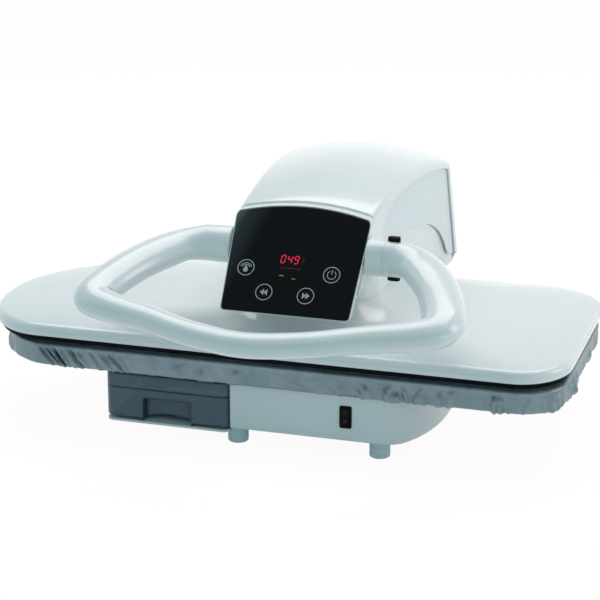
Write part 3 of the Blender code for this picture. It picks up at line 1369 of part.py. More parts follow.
def build_head_frame(mats, head):
    outline = arm_outline()
    for side, sign in (("left", -1), ("right", 1)):
        near = HEAD_X + sign * arm_inner()
        far = near + sign * ARM_THICKNESS
        slab = side_prism(outline, min(near, far), max(near, far))
        plate = add_piece("head_arm_" + side, slab, mats["steel"], head)
        reach = arm_inner() + ARM_THICKNESS
        axis = (sign, 0, 0)
        for name, centre, radius in (("arm_eye_", (HEAD_X, HINGE_Y, HINGE_Z), HINGE_PIN_RADIUS + FIT_GAP),
                                     ("arm_bore_", (HEAD_X, HANDLE_Y, HANDLE_Z), HUB_BORE)):
            bore = rod_profile(arm_inner() - CUT_OVERRUN, reach + CUT_OVERRUN, radius)
            cut(plate, turned_solid(bore, centre, axis), name + side, head)
    inside = arm_inner() - FIT_GAP
    bottom = ARM_LOWER + RUNNING_GAP
    x_range = (HEAD_X - inside, HEAD_X + inside)
    carrier = box(x_range, (CARRIER_FRONT, CARRIER_BACK), (bottom, bottom + CARRIER_THICKNESS))
    add_piece("plate_carrier", carrier, mats["steel"], head)
    for name, x, y in post_places():
        profile = rod_profile(casting_top() + FIT_GAP, bottom - FIT_GAP, POST_RADIUS)
        add_piece(name, turned_solid(profile, (x, y, 0), (0, 0, 1), 16), mats["steel"], head)
    thermostat_y = (CARRIER_FRONT + CARRIER_BACK) / 2
    low = casting_top() + FIT_GAP
    profile = rod_profile(low, low + THERMOSTAT_HEIGHT, THERMOSTAT_RADIUS, THERMOSTAT_RADIUS / 6)
    place = (HEAD_X - THERMOSTAT_RADIUS * 2, thermostat_y, 0)
    add_piece("thermostat", turned_solid(profile, place, (0, 0, 1), 16), mats["black_plastic"], head)


def post_places():
    inside = arm_inner() - POST_INSET[0]
    places = []
    for side, sign in (("left", -1), ("right", 1)):
        for end, y in (("front", CARRIER_FRONT + POST_INSET[1]), ("rear", CARRIER_BACK - POST_INSET[1])):
            places.append(("plate_post_%s_%s" % (end, side), HEAD_X + sign * inside, y))
    return places


def build_hubs(mats, head):
    centre = (HEAD_X, HANDLE_Y, HANDLE_Z)
    start = arm_inner() + ARM_THICKNESS + FIT_GAP
    edge = HUB_EDGE
    for side, sign in (("left", -1), ("right", 1)):
        profile = [(start, HUB_BORE), (HUB_END, HUB_BORE), (HUB_END, HUB_RADIUS - edge),
                   (HUB_END - edge, HUB_RADIUS), (HUB_START, HUB_RADIUS), (HUB_START, HUB_SLEEVE_RADIUS),
                   (start, HUB_SLEEVE_RADIUS)]
        add_piece("handle_hub_" + side, turned_ring(profile, centre, (sign, 0, 0)), mats["white_shell"], head)


def handle_root():
    return HUB_END + FIT_GAP * 2


def handle_half():
    """Right half of the loop, from its root to its middle, as (across, along, half width, half height)."""
    root = handle_root()
    r = HANDLE_ROOT_RADIUS
    half = [(root, 0.0, r, r), (root + HANDLE_STRAIGHT, 0.0, r, r)]
    rows = [(root + HANDLE_STRAIGHT + HANDLE_BEND, *HANDLE_BEND_SHARES)]
    for (across, along), fullness in zip(HANDLE_PLAN_SHARES, HANDLE_ARM_SHARES):
        rows.append((across * HANDLE_REACH, along, fullness))
    for across, along, fullness in rows:
        width, height = [lerp(grip, arm, fullness) for grip, arm in zip(HANDLE_GRIP_HALVES, HANDLE_ARM_HALVES)]
        half.append((across, along * HANDLE_DEPTH, width, height))
    return half


def handle_point(across, along):
    y = HANDLE_Y - along * math.cos(HANDLE_TILT)
    z = HANDLE_Z - along * math.sin(HANDLE_TILT)
    return (HEAD_X + across, y, z)


def stop_place():
    return HEAD_X + handle_root() + STOP_START + STOP_LENGTH / 2


def handle_stop(direction):
    """Black stop on the handle's root, pressed in with a peg."""
    middle = stop_place()
    outline = round_rectangle((middle - STOP_LENGTH / 2, middle + STOP_LENGTH / 2),
                              (HANDLE_Y - STOP_WIDTH / 2, HANDLE_Y + STOP_WIDTH / 2), STOP_WIDTH / 2.2, 5)
    low = HANDLE_ROOT_RADIUS + FIT_GAP * 2
    edge = STOP_HEIGHT / 5
    peg_end = HANDLE_ROOT_RADIUS - STOP_PEG_DEPTH + FIT_GAP
    high = low + STOP_HEIGHT
    levels = [(peg_end, None), (low, None), (low, 0.0), (high - edge, 0.0), (high, edge)]
    rings = []
    for rise, inset in levels:
        if inset is None:
            ring = []
            for x, y in outline:
                spoke = Vector((x - middle, y - HANDLE_Y)).normalized() * STOP_PEG_RADIUS
                ring.append((middle + spoke.x, HANDLE_Y + spoke.y, HANDLE_Z + direction * rise))
        else:
            ring = flat_ring(offset_outline(outline, inset), HANDLE_Z + direction * rise)
        rings.append(ring)
    return loft(rings)


def build_handle(mats, swing):
    """Loop handle: round where it meets the hubs, wide and flat in its arms, slim in its grip."""
    full = [Vector(place) for place in handle_half()]
    full += [Vector((-x, along, width, height)) for x, along, width, height in full[-2::-1]]
    path = hose_path(full, 2)
    points = [handle_point(place[0], place[1]) for place in path]
    halves = [(place[2], place[3]) for place in path]
    up = (0, -math.sin(HANDLE_TILT), math.cos(HANDLE_TILT))
    tube = oval_sweep(points, halves, HANDLE_SIDES, up)
    loop = add_piece("handle_loop", tube, mats["white_shell"], swing, math.radians(50))
    centre = (HEAD_X, HANDLE_Y, HANDLE_Z)
    root = handle_root()
    bore = rod_profile(root - CUT_OVERRUN, root + HANDLE_BORE_DEPTH, SHAFT_RADIUS + FIT_GAP)
    for side, sign in (("left", -1), ("right", 1)):
        cut(loop, turned_solid(bore, centre, (sign, 0, 0), 16), "handle_bore_" + side, swing)
    socket = rod_profile(HANDLE_ROOT_RADIUS - STOP_PEG_DEPTH, HANDLE_ROOT_RADIUS + CUT_OVERRUN,
                         STOP_PEG_RADIUS + FIT_GAP)
    for end, direction in (("top", 1), ("bottom", -1)):
        add_piece("handle_stop_" + end, handle_stop(direction), mats["black_plastic"], swing)
        hole = turned_solid(socket, (stop_place(), HANDLE_Y, HANDLE_Z), (0, 0, direction), 12)
        cut(loop, hole, "stop_socket_" + end, swing)
    reach = root + HANDLE_BORE_DEPTH - FIT_GAP
    shaft = turned_solid(rod_profile(-reach, reach, SHAFT_RADIUS), centre, (1, 0, 0), 16)
    add_piece("handle_shaft", shaft, mats["steel"], swing)


def build_switch(mats, fixed, rocker_axis):
    half_w, half_h = SWITCH_WIDTH / 2, SWITCH_HEIGHT / 2
    face = -BASE_FRONT - FIT_GAP
    front = face - SWITCH_FLANGE
    back = -BASE_FRONT + SWITCH_BODY_DEPTH
    wall = SWITCH_WALL

    def ring(margin, y):
        x0, x1 = SWITCH_X - half_w - margin, SWITCH_X + half_w + margin
        z0, z1 = SWITCH_Z - half_h - margin, SWITCH_Z + half_h + margin
        return [(x0, y, z0), (x1, y, z0), (x1, y, z1), (x0, y, z1)]

    rings = [ring(-wall, back - wall), ring(-wall, front), ring(SWITCH_FLANGE_RIM, front),
             ring(SWITCH_FLANGE_RIM, face), ring(0.0, face), ring(0.0, back)]
    add_piece("switch_frame", loft(rings), mats["black_plastic"], fixed)
    half = half_h - wall - RUNNING_GAP
    centre = Vector(rocker_axis["place"])
    face = centre.y - ROCKER_DEPTH / 2
    proud = face - ROCKER_PROUD
    profile = [(face + ROCKER_DEPTH, -half * 0.75), (face + ROCKER_DEPTH, half * 0.75), (face, half),
               (proud, half), (face - ROCKER_PROUD / 2, 0.0), (proud, -half), (face, -half)]
    turn = Matrix.Rotation(-ROCKER_SWING, 2)
    outline = []
    for y, z in profile:
        spoke = turn @ Vector((y - centre.y, z))
        outline.append((centre.y + spoke.x, spoke.y))
    width = half_w - wall - RUNNING_GAP / 3
    rocker = side_prism([(y, centre.z + z) for y, z in outline], SWITCH_X - width, SWITCH_X + width)
    add_piece("power_rocker", rocker, mats["black_plastic"], rocker_axis)


def rocker_place():
    return (SWITCH_X, -BASE_FRONT - FIT_GAP - SWITCH_FLANGE + ROCKER_DEPTH / 2, SWITCH_Z)


def build_inlet(mats, fixed):
    """Mains socket in the back of the base."""
    half_w, half_h = INLET_WIDTH / 2, INLET_HEIGHT / 2
    middle = (FOOT_HEIGHT + BASE_TOP) / 2
    face = BASE_BACK + FIT_GAP
    out = face + INLET_FLANGE
    back = BASE_BACK - INLET_DEPTH
    wall = INLET_POCKET_WALL

    def ring(margin, y):
        x0, x1 = INLET_X - half_w - margin, INLET_X + half_w + margin
        z0, z1 = middle - half_h - margin, middle + half_h + margin
        return [(x0, y, z0), (x1, y, z0), (x1, y, z1), (x0, y, z1)]

    rings = [ring(-wall, back + wall), ring(-wall, out), ring(INLET_FLANGE_RIM, out),
             ring(INLET_FLANGE_RIM, face), ring(0.0, face), ring(0.0, back)]
    add_piece("power_inlet", loft(rings), mats["black_plastic"], fixed)


def build_inner_works(mats, fixed, head):
    floor = FOOT_HEIGHT + BASE_FLOOR
    saddle_top = PUMP_Z - PUMP_RADIUS - FIT_GAP
    half_length, half_width = PUMP_LENGTH / 3, PUMP_SADDLE_WIDTH / 2
    saddle = box((PUMP_X - half_length, PUMP_X + half_length), (PUMP_Y - half_width, PUMP_Y + half_width),
                 (floor + FIT_GAP, saddle_top))
    add_piece("pump_saddle", saddle, mats["rubber"], fixed)
    half = PUMP_LENGTH / 2
    nozzle = half + PUMP_NOZZLE_LENGTH
    profile = [(-nozzle, PUMP_NOZZLE_RADIUS), (-half, PUMP_NOZZLE_RADIUS), (-half, PUMP_RADIUS),
               (half, PUMP_RADIUS), (half, PUMP_NOZZLE_RADIUS), (nozzle, PUMP_NOZZLE_RADIUS)]
    pump = turned_solid(profile, (PUMP_X, PUMP_Y, PUMP_Z), (1, 0, 0))
    add_piece("water_pump", pump, mats["black_plastic"], fixed)
    outlet = outlet_place()
    r = HOSE_RADIUS
    start_y = outlet[1] + OUTLET_LENGTH + FIT_GAP
    suction = [(outlet[0], start_y, outlet[2]), (outlet[0], start_y + r * 2, outlet[2]),
               (outlet[0] + r, start_y + r * 5, outlet[2]),
               (outlet[0] + r * 7, PUMP_Y, lerp(outlet[2], PUMP_Z, 0.8)),
               (PUMP_X - nozzle - r * 5, PUMP_Y, PUMP_Z), (PUMP_X - nozzle - r * 2, PUMP_Y, PUMP_Z),
               (PUMP_X - nozzle - FIT_GAP, PUMP_Y, PUMP_Z)]
    add_piece("suction_hose", frame_sweep(hose_path(suction, 3), r, HOSE_SIDES), mats["hose_silicone"], fixed)
    corner = PUMP_X + nozzle + r * 5
    riser = HEAD_X + HOSE_BEND
    low = PUMP_Z - r * 2
    pressure = [(PUMP_X + nozzle + FIT_GAP, PUMP_Y, PUMP_Z), (PUMP_X + nozzle + r * 2, PUMP_Y, PUMP_Z),
                (corner, PUMP_Y + r * 2, PUMP_Z), (corner + r, PUMP_Y + r * 7, PUMP_Z - r),
                (corner, (PUMP_Y + HINGE_Y) / 2, low), (corner - r * 3, HINGE_Y - r * 6, low),
                (riser + r * 6, HINGE_Y - r, low), (riser + r, HINGE_Y, PUMP_Z),
                (riser, HINGE_Y, BASE_TOP - r * 3), (riser, HINGE_Y, TOWER_TOP),
                (riser, HINGE_Y, HINGE_Z - r * 3), (riser - r, HINGE_Y, HINGE_Z - r * 0.8),
                (HEAD_X + r, HINGE_Y, HINGE_Z), (HEAD_X, HINGE_Y, HINGE_Z)]
    pipe = frame_sweep(hose_path(pressure, 2), r, HOSE_SIDES)
    add_piece("pressure_hose", pipe, mats["hose_silicone"], fixed)
    build_power_board(mats, fixed, floor)
    feed_x, feed_y = feed_place()
    meet = HEAD_X - FIT_GAP
    drop = CARRIER_BACK + r * 3
    bend = HEAD_X - HOSE_BEND
    feed = [(meet, HINGE_Y, HINGE_Z), (meet - r, HINGE_Y, HINGE_Z), (bend + r, HINGE_Y, HINGE_Z + r * 0.8),
            (bend, HINGE_Y, HINGE_Z + r * 4), (bend, HINGE_Y - r * 3, ARM_LOWER + r * 3),
            (HEAD_X - HOSE_BEND / 2, NECK_BACK, ARM_LOWER + r * 5), (feed_x, drop + r, ARM_LOWER + r * 3),
            (feed_x, drop, ARM_LOWER - r * 2), (feed_x, feed_y + r * 5, casting_top() + r * 6),
            (feed_x, feed_y + r, casting_top() + r * 5), (feed_x, feed_y, casting_top() + r * 3),
            (feed_x, feed_y, casting_top() + FIT_GAP)]
    add_piece("steam_feed_hose", frame_sweep(hose_path(feed, 3), r, HOSE_SIDES), mats["hose_silicone"], head)


def build_power_board(mats, fixed, floor):
    length, width, thickness = POWER_BOARD
    low = floor + POWER_BOARD_STANDOFF
    x_range = (POWER_BOARD_X - length / 2, POWER_BOARD_X + length / 2)
    y_range = (POWER_BOARD_Y - width / 2, POWER_BOARD_Y + width / 2)
    slab = box(x_range, y_range, (low, low + thickness))
    board = add_piece("power_board", slab, mats["circuit_green"], fixed)
    margin = STANDOFF_RADIUS * 2
    for i, x in enumerate((x_range[0] + margin, x_range[1] - margin)):
        for j, y in enumerate((y_range[0] + margin, y_range[1] - margin)):
            post = rod_profile(floor + FIT_GAP, low + thickness / 2, STANDOFF_RADIUS)
            cut(board, turned_solid(post, (x, y, 0), (0, 0, 1), 12), "standoff_%d_%d" % (i, j), fixed, "UNION")
    for k, share in enumerate((0.2, 0.5, 0.8)):
        x = lerp(x_range[0], x_range[1], share)
        part = box((x - margin, x + margin), (POWER_BOARD_Y - margin, POWER_BOARD_Y + margin),
                   (low + thickness / 2, low + margin * (k + 1)))
        cut(board, part, "component_%d" % k, fixed, "UNION")


def stand_on_origin(press):
    """Move the press so that the middle of its outline lies over the origin."""
    bpy.context.view_layer.update()
    corners = []
    for piece in bpy.data.objects:
        if piece.type == "MESH" and not piece.hide_render:
            corners += [piece.matrix_world @ vertex.co for vertex in piece.data.vertices]
    low = np.min([tuple(corner) for corner in corners], axis=0)
    high = np.max([tuple(corner) for corner in corners], axis=0)
    press.location = (-(low[0] + high[0]) / 2, -(low[1] + high[1]) / 2, -low[2])
    bpy.context.view_layer.update()


def main():
    clear_scene()
    mats = build_materials()
    press = add_carrier("press", (0, 0, 0))
    fixed = add_carrier("fixed_body", (0, 0, 0), press)
    head = add_carrier("head_hinge", (HEAD_X, HINGE_Y, HINGE_Z), press)
    swing = add_carrier("handle_hinge", (HEAD_X, HANDLE_Y, HANDLE_Z), head)
    slide = add_carrier("tank_slide", (0, 0, 0), press)
    cap_axis = add_carrier("cap_axis", cap_place(), slide)
    rocker_axis = add_carrier("rocker_axis", rocker_place(), fixed)
    build_base(mats, fixed)
    build_tray(mats, fixed)
    build_tank(mats, slide, cap_axis)
    build_board(mats, fixed)
    build_heater(mats, head)
    build_plate_cover(mats, head)
    build_neck(mats, head)
    build_cowl(mats, head)
    build_side_panels(mats, head)
    build_head_back(mats, head)
    build_head_floor(mats, head)
    build_control_panel(mats, head)
    build_tower(mats, fixed)
    build_hinge_pins(mats, head)
    build_springs(mats, fixed)
    build_head_frame(mats, head)
    build_hubs(mats, head)
    build_handle(mats, swing)
    build_switch(mats, fixed, rocker_axis)
    build_inlet(mats, fixed)
    build_inner_works(mats, fixed, head)
    stand_on_origin(press)


main()
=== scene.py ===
"""Looks of a steam ironing press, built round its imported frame.

The shells, the handle, the tank and the cloth are modelled here at full fineness on the same
dimensions as the frame. Lengths are in metres, X runs along the plates, Y to the back and Z up.
Shapes are written about the middle of the two plates and moved to the frame's own middle.
"""
import json
import math

import bmesh
import bpy
import numpy as np
from mathutils import Matrix, Vector


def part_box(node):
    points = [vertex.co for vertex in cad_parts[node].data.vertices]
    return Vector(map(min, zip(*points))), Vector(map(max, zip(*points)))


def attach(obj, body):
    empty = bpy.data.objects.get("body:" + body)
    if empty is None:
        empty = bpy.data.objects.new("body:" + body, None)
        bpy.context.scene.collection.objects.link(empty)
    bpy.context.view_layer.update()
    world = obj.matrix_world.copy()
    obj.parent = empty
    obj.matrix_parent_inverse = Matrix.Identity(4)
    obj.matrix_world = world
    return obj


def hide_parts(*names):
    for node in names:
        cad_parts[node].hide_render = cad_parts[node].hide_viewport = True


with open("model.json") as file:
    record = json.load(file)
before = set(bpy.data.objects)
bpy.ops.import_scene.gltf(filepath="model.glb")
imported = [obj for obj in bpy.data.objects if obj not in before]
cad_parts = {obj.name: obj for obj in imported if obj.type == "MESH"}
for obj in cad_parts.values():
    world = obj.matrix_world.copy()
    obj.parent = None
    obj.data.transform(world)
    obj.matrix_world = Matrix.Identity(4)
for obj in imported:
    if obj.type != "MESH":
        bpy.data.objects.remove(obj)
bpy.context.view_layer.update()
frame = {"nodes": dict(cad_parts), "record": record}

# Where the middle of the plates lies in the frame
COVER_LOW, COVER_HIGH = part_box("plate_cover")
MIDDLE = Vector(((COVER_LOW.x + COVER_HIGH.x) / 2, (COVER_LOW.y + COVER_HIGH.y) / 2, 0.0))

# Directions
UP = (0, 0, 1)
BACKWARD = (0, 1, 0)
SIDES = (("left", -1), ("right", 1))

# Clearances
FIT_GAP = 0.0003
RUNNING_GAP = 0.0010

# Edges: the least angle in degrees that stays sharp, and a small round rim as (inset, rise)
SHARP_ANGLE = 32.0
EDGE_STEPS = 6
SOFT_RIM = ((0.0006, 0.0), (0.0001, 0.0005), (0.0, 0.0012))

# Plan of the two plates
PLATE_LENGTH = 0.790
PLATE_WIDTH = 0.360
NOSE_FRONT_RADII = (0.095, 0.125)
HEEL_FRONT_RADII = (0.066, 0.075)
HEEL_BACK_RADII = (0.085, 0.070)
NOSE_BACK_RADII = (0.360, 0.225)
LEAST_CORNER_RADIUS = 0.006
CORNER_STEPS = (22, 20, 20, 40)
OUTLINE_STEP = 0.010

# Base
FOOT_HEIGHT = 0.024
FOOT_RADIUS = 0.0135
FOOT_EDGE = 0.0025
BASE_TOP = 0.0860
BASE_FRONT = 0.166
BASE_BACK = 0.262
BASE_RIGHT = 0.2205
BASE_LEFT_BACK = 0.228
BASE_SIDE_RADII = (0.072, 0.145)
BASE_SIDE_START = -52.5
BASE_SIDE_Y = -0.035
BASE_CORNER = 0.022
BASE_WALL = 0.0025
BASE_EDGE = 0.0030
BAY_WALL = 0.004
FEET = {"front_left": (-0.0340, -BASE_FRONT + 0.021), "front_right": (0.157, -BASE_FRONT + 0.021),
        "rear_left": (-0.175, BASE_BACK - 0.050), "rear_right": (0.157, BASE_BACK - 0.050)}

# Tank
TANK_LEFT = 0.2100
TANK_RIGHT = 0.0405
TANK_DEPTH = 0.118
TANK_MIDDLE = -(TANK_LEFT + TANK_RIGHT) / 2
BAY_BACK = -BASE_FRONT + TANK_DEPTH + RUNNING_GAP
TANK_BOTTOM = 0.0225
TANK_SEAM = 0.0640
TANK_WALL = 0.0022
TANK_CORNER = 0.009
TANK_EDGE = 0.004
LID_TOP = 0.0835
LID_EDGE = 0.0020
WELL_FLOOR = 0.0703
WELL_RADIUS = 0.0262
WELL_FLOOR_THICKNESS = 0.0025
CAP_RADIUS = 0.0240
CAP_THICKNESS = 0.0050
CAP_NECK_RADIUS = 0.0190
CAP_NECK_DEPTH = 0.0080
CAP_CENTRE = (TANK_MIDDLE, -BASE_FRONT + 0.040, WELL_FLOOR)
CAP_RIBS = 48
CAP_RIB = (0.0300, 0.0050, 0.0035)
PULL_WIDTH = 0.066
PULL_HEIGHT = 0.030
PULL_DEPTH = 0.010
PULL_ARCH = 0.0065
PULL_ARCH_DEPTH = 0.030
TRAY_BOTTOM = 0.0165
TRAY_THICKNESS = 0.0030
TRAY_ARM_LENGTH = 0.060
OUTLET_RADIUS = 0.0060
OUTLET_X = -TANK_RIGHT - 0.014
OUTLET_Z = TANK_BOTTOM + 0.0140

# Board
BOARD_NOSE_INSET = 0.0130
BOARD_HEEL_RADII = (0.0655, 0.0585)
BOARD_BOTTOM = 0.0895
DECK_THICKNESS = 0.0015
PAD_INSET = 0.0075
PAD_BULGE = 0.0035
COVER_INSET = 0.0035
CLOTH_THICKNESS = 0.0022
CLOTH_TURN_IN = 0.026
CLOTH_EDGE = 0.006
CLOTH_TOP_SQUASH = 0.75
CLOTH_LOW_SQUASH = 0.8
CLOTH_STEP = 0.0018
CLOTH_FLAT_INSET = 0.040
FOLD_SINK = 0.0015
SMALL_FOLDS = 210
FLAT_SHARES = (0.02, 0.15, 0.30, 0.45, 0.60, 0.75, 0.88)
DRAG_SPAN = (-0.305, -0.185)
PRESS_LINE = 0.1185

# Upper plate
HEATER_THICKNESS = 0.0048
HEATER_INSET = 0.0150
STEAM_HOLE_RADIUS = 0.0022
STEAM_HOLE_PITCH = 0.052
STEAM_HOLE_COUNT = 11
STEAM_ROWS = (-0.055, 0.055)
SURROUND_OUTER_INSET = 0.0055
SURROUND_INNER_INSET = 0.0125
SURROUND_SEAT_INSET = 0.0220
SURROUND_HEIGHT = 0.0102
SURROUND_EDGE = 0.0012
COVER_RIM = 0.1290
COVER_WALL_HEIGHT = 0.0155
COVER_WALL_LEVELS = ((0.0, 0.004), (0.0, 0.0072))
COVER_EDGE = 0.0085
COVER_EDGE_STEPS = 9
COVER_THICKNESS = 0.0028
COVER_CROWN = 0.0065
CROWN_POWER = 0.8
CROWN_SHARES = (0.985, 0.95, 0.90, 0.83, 0.74, 0.62, 0.50, 0.38, 0.26, 0.16, 0.08, 0.03)
DOME_RISE = 0.0230
DOME_WIDTH = 0.058
DOME_POWER = 2.2
DOME_SHARES = (1.0, 0.92, 0.84, 0.76, 0.68, 0.60, 0.52, 0.45, 0.38, 0.31, 0.25, 0.19, 0.14, 0.10, 0.06, 0.03,
               0.01, 0.0)
INNER_DOME_SHARES = (0.1, 0.28, 0.6, 1.0)

# Head
HEAD_X = 0.031
HOSE_HOLE = (HEAD_X + 0.012, 0.219, 0)
HOSE_HOLE_RADIUS = 0.0046
PANEL_FRONT = 0.1547
PANEL_BOTTOM = 0.1799
PANEL_HEIGHT = 0.1449
PANEL_LEAN = math.radians(40.0)
PANEL_BOTTOM_HALF = 0.0865
PANEL_TOP_HALF = 0.0910
PANEL_ARCH = 0.0130
PANEL_TOP_RADIUS = 0.013
PANEL_BOTTOM_RADIUS = 0.006
BEZEL_DEPTH = 0.0085
BEZEL_LIP = 0.0013
BEZEL_FLOOR = 0.0016
GLASS_THICKNESS = 0.0025
GLASS_PROUD = 0.0006

# Marks on the panel: sizes, places as (across, up), and lit figures as (figure, across, width, height, look)
INK_PROUD = 0.00006
INK_ROOT = 0.0003
MARK_LINE = 0.0010
KEY_RADIUS = 0.0113
KEY_LINE = 0.0011
KEYS = {"steam": (-0.0626, 0.0622), "lower": (-0.0321, 0.0305),
        "raise": (0.0235, 0.0304), "power": (0.0522, 0.0621)}
SEGMENTS = {"0": "abcdef", "1": "bc", "4": "fgbc", "9": "abcdfg"}
SEGMENT_ENDS = {
    "a": ((-1, 1), (1, 1)), "b": ((1, 1), (1, 0)), "c": ((1, 0), (1, -1)), "d": ((-1, -1), (1, -1)),
    "e": ((-1, 0), (-1, -1)), "f": ((-1, 1), (-1, 0)), "g": ((-1, 0), (1, 0)),
}
SEGMENT_LINE = 0.115
SEGMENT_PROUD = 0.00008
DIGIT_UP = 0.0782
DIGIT_SLANT = 0.14
DIGITS = (("0", -0.0152, 0.0052, 0.0104, "red_digit"), ("4", -0.0062, 0.0052, 0.0104, "red_digit"),
          ("9", 0.0026, 0.0052, 0.0104, "red_digit"), ("1", 0.0098, 0.0036, 0.0080, "red_dim"))
LIT_MARKS = (("mark_line", (-0.0165, 0.0100), (0.0657, 0.0664), "red_dim"),
             ("mark_amber_left", (-0.0165, -0.0105), (0.0547, 0.0558), "amber_mark"),
             ("mark_amber_right", (0.0008, 0.0055), (0.0515, 0.0525), "amber_mark"))

# Shell of the head
HEAD_BACK = 0.287
HEAD_WALL = 0.0025
RIDGE_HALF_FRONT = 0.0912
RIDGE_HALF_BACK = 0.1110
RIDGE_FRONT_HEIGHT = 0.2910
RIDGE_BACK_HEIGHT = 0.2800
RIDGE_RISE = 0.0207
RIDGE_FULLNESS = 0.85
ROOF_ARCH_FRONT = 0.0100
ROOF_ARCH_BACK = 0.0190
SHOULDER_RADIUS = 0.0100
DRAFT_FRONT = math.radians(-1.5)
DRAFT_BACK = math.radians(6.0)
SKIRT_EDGE_HEIGHTS = (0.205, 0.208, 0.212, 0.226, 0.239, 0.243, 0.231, 0.218, 0.198, 0.178, 0.152, 0.146)
SKIRT_EDGE_SHARES = (0.0, 0.06, 0.12, 0.17, 0.22, 0.316, 0.537, 0.715, 0.83, 0.885, 0.93, 1.0)
WINDOW_RIM = 0.0115
WINDOW_FRONT_SHARE = 0.15
WINDOW_CORNER_SHARE = 0.149
WINDOW_CORNER_DROP = 0.0184
WINDOW_BACK_MARGIN = 0.0095
WINDOW_STEPS = 72
SIDE_PANEL_RECESS = 0.0028
SIDE_PANEL_THICKNESS = 0.0022
SIDE_PANEL_GAP = 0.0006
BACK_COVER_GAP = 0.0006
BACK_COVER_MIDDLE = 0.215
BACK_COVER_LEVELS = ((0.0, HEAD_WALL), (0.0, 0.0008), (0.010, 0.0), (0.016, 0.0), (0.020, 0.0010))
BACK_SCREWS = ((-0.078, 0.155), (0.078, 0.155), (-0.078, 0.268), (0.078, 0.268))

# Neck
NECK_FRONT = 0.062
NECK_BACK = 0.166
NECK_FRONT_HALF = 0.0880
NECK_CORNER = 0.052
NECK_WALL = 0.0025
NECK_COLLAR = 0.0036
NECK_OVERLAP = 0.011
NECK_FRONT_TOP = 0.2150
NECK_TAIL_BOTTOM = 0.1340
NECK_SIDE_GAP = 0.0012
NECK_SHARE = 0.6
NECK_FRONT_SHARE = 0.22
NECK_STEPS = 24

# Handle
HANDLE_Y = -0.078
HANDLE_Z = 0.2447
HANDLE_CENTRE = (HEAD_X, HANDLE_Y, HANDLE_Z)
HANDLE_TILT = math.radians(11.5)
HANDLE_REACH = 0.2240
HANDLE_DEPTH = 0.2445
HUB_START = 0.0916
HUB_END = 0.1145
HUB_RADIUS = 0.0243
HUB_EDGE = 0.0002
HUB_BORE = 0.0053
HUB_HOLE = 0.0060
HANDLE_ROOT_RADIUS = 0.0240
HANDLE_ARM_HALVES = (0.0278, 0.0205)
HANDLE_GRIP_HALVES = (0.0182, 0.0152)
HANDLE_STRAIGHT = 0.012
HANDLE_PLAN_SHARES = (
    (0.690, 0.044), (0.795, 0.155), (0.895, 0.312), (0.960, 0.468), (0.993, 0.578), (1.0, 0.640),
    (0.985, 0.694), (0.936, 0.735), (0.804, 0.785), (0.605, 0.845), (0.320, 0.945), (0.0, 1.0),
)
HANDLE_ARM_SHARES = (0.85, 1.0, 1.0, 1.0, 0.98, 0.92, 0.80, 0.58, 0.33, 0.12, 0.0, 0.0)
STOP_START = 0.0014
STOP_LENGTH = 0.0165
STOP_WIDTH = 0.0100
STOP_HEIGHT = 0.0050
STOP_EDGE = 0.0010

# Switch and inlet
SWITCH_X = 0.117
SWITCH_Z = 0.0565
SWITCH_WIDTH = 0.0135
SWITCH_HEIGHT = 0.0275
SWITCH_FLANGE = 0.0018
SWITCH_RIM = 0.0013
SWITCH_DEPTH = 0.020
SWITCH_WALL = 0.0012
ROCKER_PROUD = 0.0022
ROCKER_SWING = math.radians(7.0)
ROCKER_DEPTH = 0.008
INLET_X = -0.110
INLET_Z = (FOOT_HEIGHT + BASE_TOP) / 2
INLET_WIDTH = 0.030
INLET_HEIGHT = 0.024
INLET_FLANGE = 0.002
INLET_RIM = 0.004
INLET_DEPTH = 0.018
INLET_WALL = 0.003


# Shape helpers

def lerp(first, last, share):
    return first + (last - first) * share


def evenly(first, last, steps, start=0):
    """Even values from the first to the last."""
    return [lerp(first, last, i / steps) for i in range(start, steps + 1)]


def smooth_step(share):
    share = min(max(share, 0.0), 1.0)
    return share * share * (3.0 - 2.0 * share)


def bend(start, corner, end, steps):
    """Points of a curve that leaves start and reaches end towards one corner."""
    points = []
    for t in evenly(0.0, 1.0, steps):
        points.append((1 - t) ** 2 * Vector(start) + 2 * t * (1 - t) * Vector(corner) + t ** 2 * Vector(end))
    return points


def rounded_edge(radius, face, steps=EDGE_STEPS, way=1):
    """(inset, height) pairs that round the edge of a face at a height; the face looks down with way -1."""
    pairs = []
    for turn in evenly(0.0, math.pi / 2, steps):
        pairs.append((radius * (1 - math.cos(turn)), face - way * radius * (1 - math.sin(turn))))
    return pairs


def arc(centre, radii, start, end, steps):
    points = []
    for degrees in evenly(start, end, steps):
        angle = math.radians(degrees)
        points.append((centre[0] + radii[0] * math.cos(angle), centre[1] + radii[1] * math.sin(angle)))
    return points


def circle(centre, radius, start=0, end=360, steps=64):
    return arc(centre, (radius, radius), start, end, steps)[:-1 if end - start == 360 else None]


def rounded_box_outline(x_range, y_range, corners, steps):
    """Outline with an elliptic corner each, from the front left one counterclockwise."""
    (left, right), (front, back) = x_range, y_range
    outline = []
    for k, (across, along) in enumerate(corners):
        x = right - across if k in (1, 2) else left + across
        y = back - along if k in (2, 3) else front + along
        start = (180, 270, 0, 90)[k]
        outline += arc((x, y), (across, along), start, start + 90, steps[k])
    return outline


def rectangle(x_range, y_range):
    (left, right), (front, back) = x_range, y_range
    return [(left, front), (right, front), (right, back), (left, back)]


def round_rectangle(x_range, y_range, radius, steps=10):
    return rounded_box_outline(x_range, y_range, [(radius, radius)] * 4, [steps] * 4)


def around(middle, width):
    """Range of a width about its middle."""
    return middle - width / 2, middle + width / 2


def mirrored(half):
    """A right half and its mirror image, joined at the last point, which is in the middle."""
    return half + [(-x, *rest) for x, *rest in half[-2::-1]]


